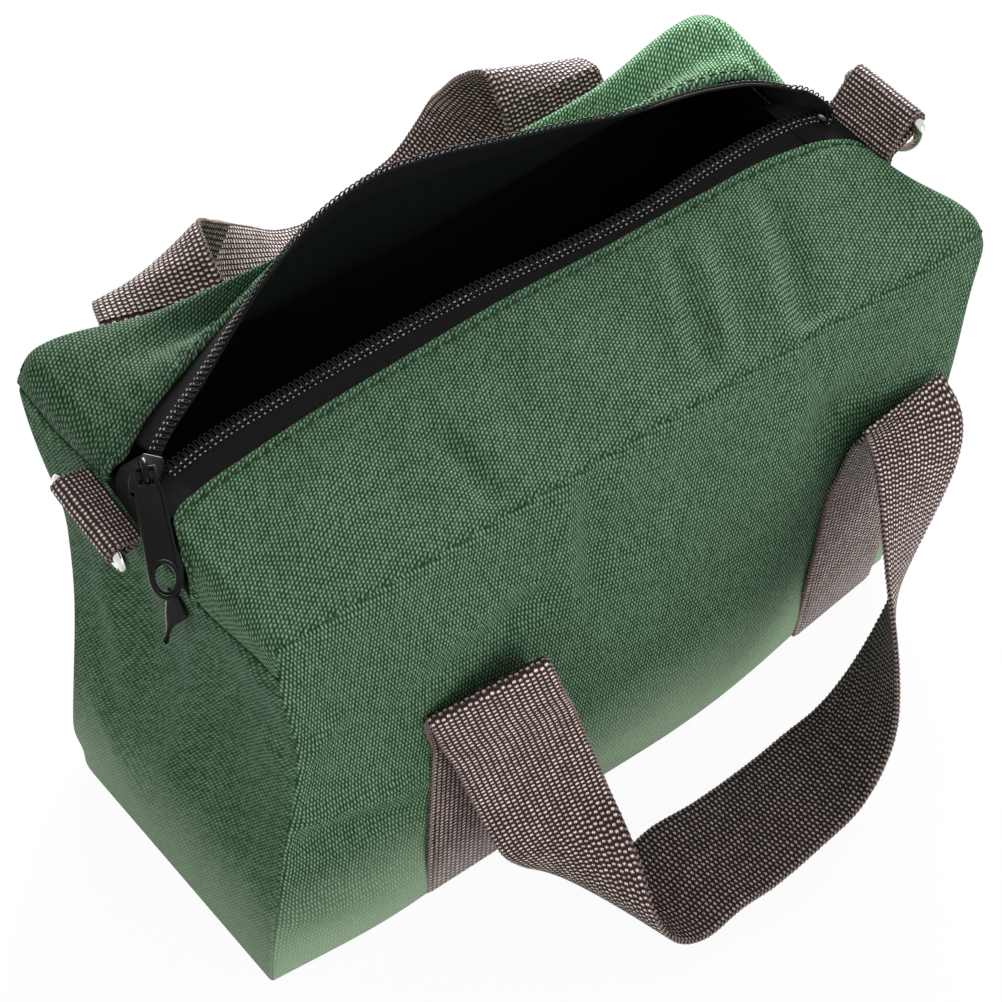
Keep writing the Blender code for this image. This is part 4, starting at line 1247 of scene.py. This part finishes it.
def makePull():
    place = pullFrame()
    long, wide, bow = pull["length"], pull["half"], pull["bow"]

    def outline(inset):
        w = wide - inset
        e = pull["neck"] - inset
        loop = [(-e, -0.0006 + inset), (e, -0.0006 + inset), (e, 0.0046), (w * 0.92, 0.0092),
                (w, long - 1.4 * bow)]
        loop += [(w * math.cos(t), long - bow + (bow - inset) * math.sin(t))
                 for t in np.linspace(0, math.pi, 21)]
        loop += [(-w, long - 1.4 * bow), (-w * 0.92, 0.0092), (-e, 0.0046)]
        return loop

    def oval(grow):
        return [((pull["hole"][0] + grow) * math.cos(t), long - bow + (pull["hole"][1] + grow) * math.sin(t))
                for t in np.linspace(0, 2 * math.pi, 24, endpoint=False)]

    eye = [(-0.0021, 0.0006), (0.0021, 0.0006), (0.0021, 0.0058), (-0.0021, 0.0058)]
    for name, loops, level, soft, node in (
            ("plate", [outline(0), eye, oval(0)], pull["plate"], 0.00022, "zip_pull"),
            ("rim", [outline(0.0001), outline(0.0010)], pull["rim"], 0.00020, None),
            ("eyelet", [oval(0.0010), oval(0.0)], pull["rim"], 0.00020, None)):
        made = loopMesh("zip_pull_" + name, loops, level[0], level[1], place, paints["enamel"])
        attach(softenEdges(made, soft), "pull", node)


makeSlider()
makePull()
makeEndStop()
print("slider and pull made")


# Webbing
def ribbonMesh(name, outerEdge, innerEdge, finishes, outward=(0, 0, 1), width=strap["width"],
               thick=strap["thick"], columns=21):
    # a strip of webbing between two edges; its width stays true
    middle = (outerEdge + innerEdge) / 2
    side = innerEdge - outerEdge
    side /= np.linalg.norm(side, axis=1, keepdims=True)
    share = np.linspace(0, 1, columns)
    grid = middle[:, None] + side[:, None] * ((share - 0.5) * width)[None, :, None]
    along = lengthAlong(middle)
    uv = np.stack([np.broadcast_to(along[:, None], grid.shape[:2]),
                   np.broadcast_to((share * width)[None], grid.shape[:2])], -1)
    normal = gridNormals(grid)
    if np.dot(normal[len(normal) // 2, columns // 2], outward) < 0:
        normal = -normal
    edge = 0.0012 / width  # the part of the width over which the selvedge thins
    thinner = 1 - np.clip((np.abs(share - 0.5) - (0.5 - edge)) / edge, 0, 1) ** 2 * 0.45
    half = (thick / 2) * thinner[None, :, None]
    made = closedGrid(name, grid + normal * half, grid - normal * half, uv, finishes)
    return made, grid, normal, along


def edgeKnots(name, grid, normal, along, body, size=1.0):
    # the looped yarn along both edges of webbing
    pitch = strap["cell"][0]
    shape = spindle("knot_shape", 0.00155 * size, 0.00042 * size, 6, 4)
    spots, frames = [], []
    for column, inward in ((0, 1), (-1, -2)):
        line, up = grid[:, column], normal[:, column]
        inner = grid[:, inward]
        where = np.arange(pitch / 2, along[-1] - pitch / 4, pitch)
        for a, b, c, d in zip(readAt(where, along, line), readAt(where + 0.0005, along, line),
                              readAt(where, along, up), readAt(where, along, inner)):
            inn = (d - a) / np.linalg.norm(d - a)
            ahead = (b - a) / max(np.linalg.norm(b - a), 1e-9)
            for s in (1, -1):
                spots.append(a + inn * 0.0003 + c * s * 0.00042)
                frames.append(unitFrame(ahead * 0.80 + inn * s * 0.60, c))
    made = placeCopies(name, spots, frames, shape, paints["knot"], 1.0, 0.12)
    drop(shape)
    attach(made, body)


frontLoop = {
    "outer": [(-0.2935, -0.262, 0.3055), (-0.280, -0.268, 0.269), (-0.271, -0.276, 0.226),
              (-0.258, -0.291, 0.181), (-0.243, -0.314, 0.122), (-0.219, -0.327, 0.091),
              (-0.190, -0.339, 0.070), (-0.155, -0.355, 0.049), (-0.101, -0.365, 0.041),
              (-0.046, -0.362, 0.052), (0.015, -0.366, 0.052), (0.083, -0.367, 0.056),
              (0.150, -0.366, 0.067), (0.226, -0.366, 0.087), (0.298, -0.356, 0.142),
              (0.376, -0.334, 0.234), (0.440, -0.316, 0.335), (0.466, -0.290, 0.380)],
    "inner": [(-0.1595, -0.302, 0.3505), (-0.149, -0.307, 0.323), (-0.136, -0.315, 0.285),
              (-0.129, -0.334, 0.240), (-0.129, -0.368, 0.204), (-0.139, -0.422, 0.170),
              (-0.145, -0.475, 0.106), (-0.129, -0.500, 0.062), (-0.091, -0.512, 0.046),
              (-0.031, -0.510, 0.051), (0.017, -0.514, 0.060), (0.083, -0.513, 0.077),
              (0.149, -0.510, 0.101), (0.205, -0.491, 0.163), (0.234, -0.453, 0.233),
              (0.264, -0.386, 0.315), (0.300, -0.315, 0.390), (0.318, -0.275, 0.410)],
    "leftCrest": ((-0.305, -0.243, 0.347), (-0.171, -0.283, 0.397)),
    "rightCrest": ((0.472, -0.240, 0.405), (0.3255, -0.258, 0.413))}


def makeFrontStrips():
    y = -halfWidth / span - 0.0031
    for name, side, x0, x1, crest in (("front_strip_left", -1, -0.294, -0.146, frontLoop["leftCrest"]),
                                      ("front_strip_right", 1, 0.464, 0.312, frontLoop["rightCrest"])):
        rows = []
        for z in (0.008, 0.06, 0.12, 0.18, 0.24, 0.285):
            a, b = ((x, float(frontY(x * span, z * span)) / span - 0.0048, z) for x in (x0, x1))
            rows.append(a + b)
        out, inn = np.array(crest[0]), np.array(crest[1])
        stand = np.array([0, 0.0040, -0.0030 if side < 0 else -0.0220])
        if side < 0:
            rows.append((x0 - 0.004, y - 0.008, 0.315, x1 - 0.010, y - 0.016, 0.330))
        else:
            rows.append((x0 + 0.003, y - 0.005, 0.330, x1 + 0.006, y - 0.010, 0.340))
            rows.append((x0 + 0.006, y - 0.006, 0.372, x1 + 0.011, y - 0.016, 0.380))
        rows.append(tuple(out + stand) + tuple(inn + stand))
        table = curveThrough(np.array(rows) * span, 90)
        made, grid, normal, along = ribbonMesh(name + "_webbing", table[:, :3], table[:, 3:],
                                               [paints["stripWebbing"]], (0, -1, 0))
        attach(made, "bag", name)
        edgeKnots(name + "_edges", grid, normal, along, "bag")
        column = 1 if side < 0 else -2
        line = grid[3:76, column] + normal[3:76, column] * (strap["thick"] / 2 + 0.0001)
        stitchLine(name + "_stitches", line, normal[3:76, column],
                   paints["ochreThread"] if side < 0 else paints["knot"], 0.0030, 0.0022, 0.00022)


def makeFrontHandle():
    # each leg folds over the crest of its sewn strip
    left, right = ([tuple(np.array(crest[0]) + step) + tuple(np.array(crest[1]) + step)
                    for step in ((0, 0.0005, 0.001), (0, -0.0075, -0.002))]
                   for crest in (frontLoop["leftCrest"], frontLoop["rightCrest"]))
    rows = left + [a + b for a, b in zip(frontLoop["outer"], frontLoop["inner"])] + right[::-1]
    table = curveThrough(np.array(rows) * span, 330)
    # the upper face and rims of the loop take the darker copy of the webbing: painted shade
    made, grid, normal, along = ribbonMesh("front_handle_webbing", table[:, :3], table[:, 3:],
                                           [paints["shadedWebbing"], paints["webbing"]])
    attach(made, "front_handle", "handle_front")
    edgeKnots("front_handle_edges", grid, normal, along, "front_handle")


rearLoop = {
    "outer": [
        (-0.357, 0.253, 0.452), (-0.352, 0.280, 0.492), (-0.340, 0.318, 0.516), (-0.322, 0.358, 0.504),
        (-0.290, 0.370, 0.467), (-0.256, 0.357, 0.431), (-0.220, 0.343, 0.397), (-0.182, 0.343, 0.363),
        (-0.138, 0.344, 0.338), (-0.089, 0.336, 0.327), (-0.038, 0.330, 0.322), (0.013, 0.327, 0.320),
        (0.064, 0.327, 0.324), (0.114, 0.327, 0.330), (0.165, 0.328, 0.336), (0.215, 0.329, 0.344),
        (0.264, 0.330, 0.360), (0.306, 0.332, 0.389), (0.338, 0.336, 0.428), (0.366, 0.346, 0.470),
        (0.387, 0.349, 0.516), (0.390, 0.310, 0.531), (0.388, 0.275, 0.495), (0.387, 0.252, 0.450)],
    "inner": [
        (-0.210, 0.237, 0.449), (-0.210, 0.236, 0.497), (-0.208, 0.255, 0.541), (-0.202, 0.297, 0.568),
        (-0.183, 0.344, 0.567), (-0.149, 0.361, 0.534), (-0.118, 0.379, 0.499), (-0.108, 0.417, 0.468),
        (-0.093, 0.449, 0.433), (-0.059, 0.463, 0.398), (-0.022, 0.471, 0.364), (0.017, 0.475, 0.332),
        (0.063, 0.475, 0.317), (0.113, 0.475, 0.328), (0.162, 0.476, 0.341), (0.209, 0.476, 0.359),
        (0.238, 0.471, 0.401), (0.243, 0.454, 0.447), (0.236, 0.425, 0.489), (0.241, 0.397, 0.530),
        (0.245, 0.357, 0.561), (0.242, 0.316, 0.533), (0.241, 0.286, 0.491), (0.239, 0.258, 0.449)],
    "sewn": 0.395}


def makeRearHandle():
    # sewn from the floor up, free above; the strips end where the loop's joint is
    count = len(rearLoop["outer"])
    cutLeft, cutRight = 2, count - 3
    loop = [a + b for a, b in zip(rearLoop["outer"], rearLoop["inner"])]
    for name, x0, x1, above in (("rear_strip_left", -0.361, -0.213, loop[:cutLeft + 1]),
                                ("rear_strip_right", 0.387, 0.239, loop[:cutRight - 1:-1])):
        rows = []
        for z in (0.008, 0.08, 0.16, 0.24, 0.32, rearLoop["sewn"]):
            a, b = ((x, float(rearY(x * span, z * span)) / span + 0.0048, z) for x in (x0, x1))
            rows.append(a + b)
        table = curveThrough(np.array(rows + above) * span, 120)
        made, grid, normal, along = ribbonMesh(name + "_webbing", table[:, :3], table[:, 3:],
                                               [paints["webbing"]], (0, 1, 0))
        attach(made, "bag", name)
        edgeKnots(name + "_edges", grid, normal, along, "bag")
    table = curveThrough(np.array(loop[cutLeft:cutRight + 1]) * span, 300)
    made, grid, normal, along = ribbonMesh("rear_handle_webbing", table[:, :3], table[:, 3:],
                                           [paints["webbing"]], (0, -1, 1))
    attach(made, "rear_handle", "handle_rear")
    edgeKnots("rear_handle_edges", grid, normal, along, "rear_handle")


makeFrontStrips()
makeFrontHandle()
makeRearHandle()
print("webbing made")

# Ring tabs and rings
tabs = {"width": 0.028, "thick": 0.0016, "layer": 0.0010, "wire": 0.0036, "ringDepth": 0.0165,
        "left": {"side": -1, "y": 0.0130, "z": 0.1540, "roll": 11, "rise": 2, "reach": 0.0072, "sewn": 0.0,
                 "lean": 17},
        "right": {"side": 1, "y": -0.0054, "z": 0.1640, "roll": 0, "rise": 46, "reach": 0.0138,
                  "sewn": 0.0115, "lean": 0}}


def makeTab(name):
    facts = tabs[name]
    side = facts["side"]
    roll, rise = math.radians(facts["roll"]), math.radians(facts["rise"])
    across = np.array([0, math.cos(roll), math.sin(roll)])
    out = np.array([side * math.cos(rise), 0, math.sin(rise)])
    out = out - across * np.dot(out, across)
    out /= np.linalg.norm(out)
    face = -halfLength if side < 0 else halfLength + float(endBow(facts["z"]))
    root = np.array([face + side * 0.0018, facts["y"], facts["z"]])
    up = np.cross(across, out) * -side
    if up[2] < 0:
        up = -up
    bend = tabs["wire"] / 2 + 0.0003 + 0.00085
    bar = root + out * facts["reach"]
    layer = tabs["layer"]
    way = [root + up * layer - out * 0.0014, root + up * layer,
           root + up * mix(layer, bend, 0.30) + out * facts["reach"] * 0.3,
           root + up * mix(layer, bend, 0.85) + out * facts["reach"] * 0.7]
    way += [bar + up * bend * math.cos(t) + out * bend * math.sin(t) for t in np.linspace(0, math.pi, 9)]
    way += [root - up * mix(layer, bend, 0.85) + out * facts["reach"] * 0.7,
            root - up * mix(layer, bend, 0.30) + out * facts["reach"] * 0.3, root - up * layer]
    if facts["sewn"]:
        low = root - np.array([0, 0, facts["sewn"]])
        beside = np.array([side * layer, 0, 0])
        way = [low - beside] + way[1:] + [low + beside]
    way = curveThrough(way, 64)
    half = across * tabs["width"] / 2
    made, grid, normal, along = ribbonMesh("ring_tab_%s_webbing" % name, way - half, way + half,
                                           [paints["tabWebbing"]], (0, 0, 1), tabs["width"], tabs["thick"], 14)
    attach(made, "bag", "ring_tab_" + name)
    edgeKnots("ring_tab_%s_edges" % name, grid, normal, along, "bag", 0.9)

    half = tabs["width"] / 2 + 0.0005 + tabs["wire"] / 2
    down = np.array([-side * math.tan(math.radians(facts["lean"])), 0, -1.0])
    down = down - across * np.dot(down, across)
    down /= np.linalg.norm(down)
    corner = half - tabs["width"] / 2
    path = [(a, 0) for a in np.linspace(-half + corner, half - corner, 9)]
    bends = [(corner * 0.75 * math.sin(t), corner * (1 - math.cos(t)) * 0.6) for t in (0.7, 1.2)]
    path += [(half - corner + a, b) for a, b in bends]
    path += [(half * math.cos(t), corner + (tabs["ringDepth"] - corner) * math.sin(t))
             for t in np.linspace(0, math.pi, 31)]
    path += [(-half + corner - a, b) for a, b in bends[::-1]]
    points = [bar + across * a + down * b for a, b in path]
    made = tubeMesh("d_ring_%s_wire" % name, points, tabs["wire"] / 2, paints["nickel"], sides=20, closed=True,
                    up=np.cross(across, down))
    attach(made, name + "_ring", "d_ring_" + name)


makeTab("left")
makeTab("right")
print("tabs and rings made")

# Floor, light and camera
studio = {"floor": (0.86, 0.86, 0.86), "seenFloor": 0.94, "half": 4, "under": -0.0002, "sky": 0.84,
          "lampTarget": (0, 0, 0.1),
          "back_light": {"spot": (1.25, 1.40, 0.55), "size": 1.30, "power": 75.0},
          "front_fill": {"spot": (0.2, -1.7, 0.60), "size": 1.0, "power": 10.0}}
floorPaint = Paint("white_floor", studio["floor"], 0.9)
rays = floorPaint.tree.nodes.new("ShaderNodeLightPath")
glow = floorPaint.tree.nodes.new("ShaderNodeEmission")
glow.inputs["Strength"].default_value = 1.0
seenBy = Amount(floorPaint, rays.outputs["Is Camera Ray"]) * studio["seenFloor"]
mixer = floorPaint.tree.nodes.new("ShaderNodeMixShader")
floorPaint.tree.links.new(seenBy.socket, mixer.inputs[0])
floorPaint.tree.links.new(floorPaint.shader.outputs[0], mixer.inputs[1])
floorPaint.tree.links.new(glow.outputs[0], mixer.inputs[2])
floorPaint.tree.links.new(mixer.outputs[0], floorPaint.tree.nodes["Material Output"].inputs["Surface"])
corners = [(a * studio["half"], b * studio["half"], studio["under"])
           for a, b in ((-1, -1), (1, -1), (1, 1), (-1, 1))]
finished("studio_floor", corners, [(0, 1, 2, 3)], [floorPaint.material])

world = bpy.data.worlds.new("studio")
world.use_nodes = True
world.node_tree.nodes["Background"].inputs["Color"].default_value = (1, 1, 1, 1)
world.node_tree.nodes["Background"].inputs["Strength"].default_value = studio["sky"]
bpy.context.scene.world = world


def makeLamp(name):
    facts = studio[name]
    data = bpy.data.lights.new(name, "AREA")
    data.shape = "DISK"
    data.size = facts["size"]
    data.energy = facts["power"]
    made = bpy.data.objects.new(name, data)
    made.location = facts["spot"]
    ahead = Vector(studio["lampTarget"]) - Vector(facts["spot"])
    made.rotation_euler = ahead.to_track_quat("-Z", "Y").to_euler()
    bpy.context.scene.collection.objects.link(made)


makeLamp("back_light")
makeLamp("front_fill")

# the view of the photograph: turn round the bag, height and tilt in degrees, and the lens in pixels
view = {"azimuth": -43.19, "elevation": 49.47, "roll": 5.27, "spot": (-0.4191, -0.4477, 0.7911),
        "focal": 2939.8, "pixels": 1002, "sensor": 36.0, "clip": 0.05}


def makeCamera():
    azimuth, elevation, roll = (math.radians(view[key]) for key in ("azimuth", "elevation", "roll"))
    back = Vector((math.sin(azimuth) * math.cos(elevation), -math.cos(azimuth) * math.cos(elevation),
                   math.sin(elevation)))
    right = Vector((math.cos(azimuth), math.sin(azimuth), 0))
    up = back.cross(right)
    turnedRight = right * math.cos(roll) + up * math.sin(roll)
    turnedUp = up * math.cos(roll) - right * math.sin(roll)
    data = bpy.data.cameras.new("camera")
    data.sensor_width = view["sensor"]
    data.lens = view["focal"] / view["pixels"] * view["sensor"]
    data.clip_start = view["clip"]
    made = bpy.data.objects.new("camera", data)
    made.matrix_world = Matrix.Translation(view["spot"]) @ Matrix(
        (turnedRight, turnedUp, back)).transposed().to_4x4()
    bpy.context.scene.collection.objects.link(made)
    bpy.context.scene.camera = made


makeCamera()
bpy.context.scene.view_settings.view_transform = "Standard"
bpy.context.view_layer.update()

print("scene made")
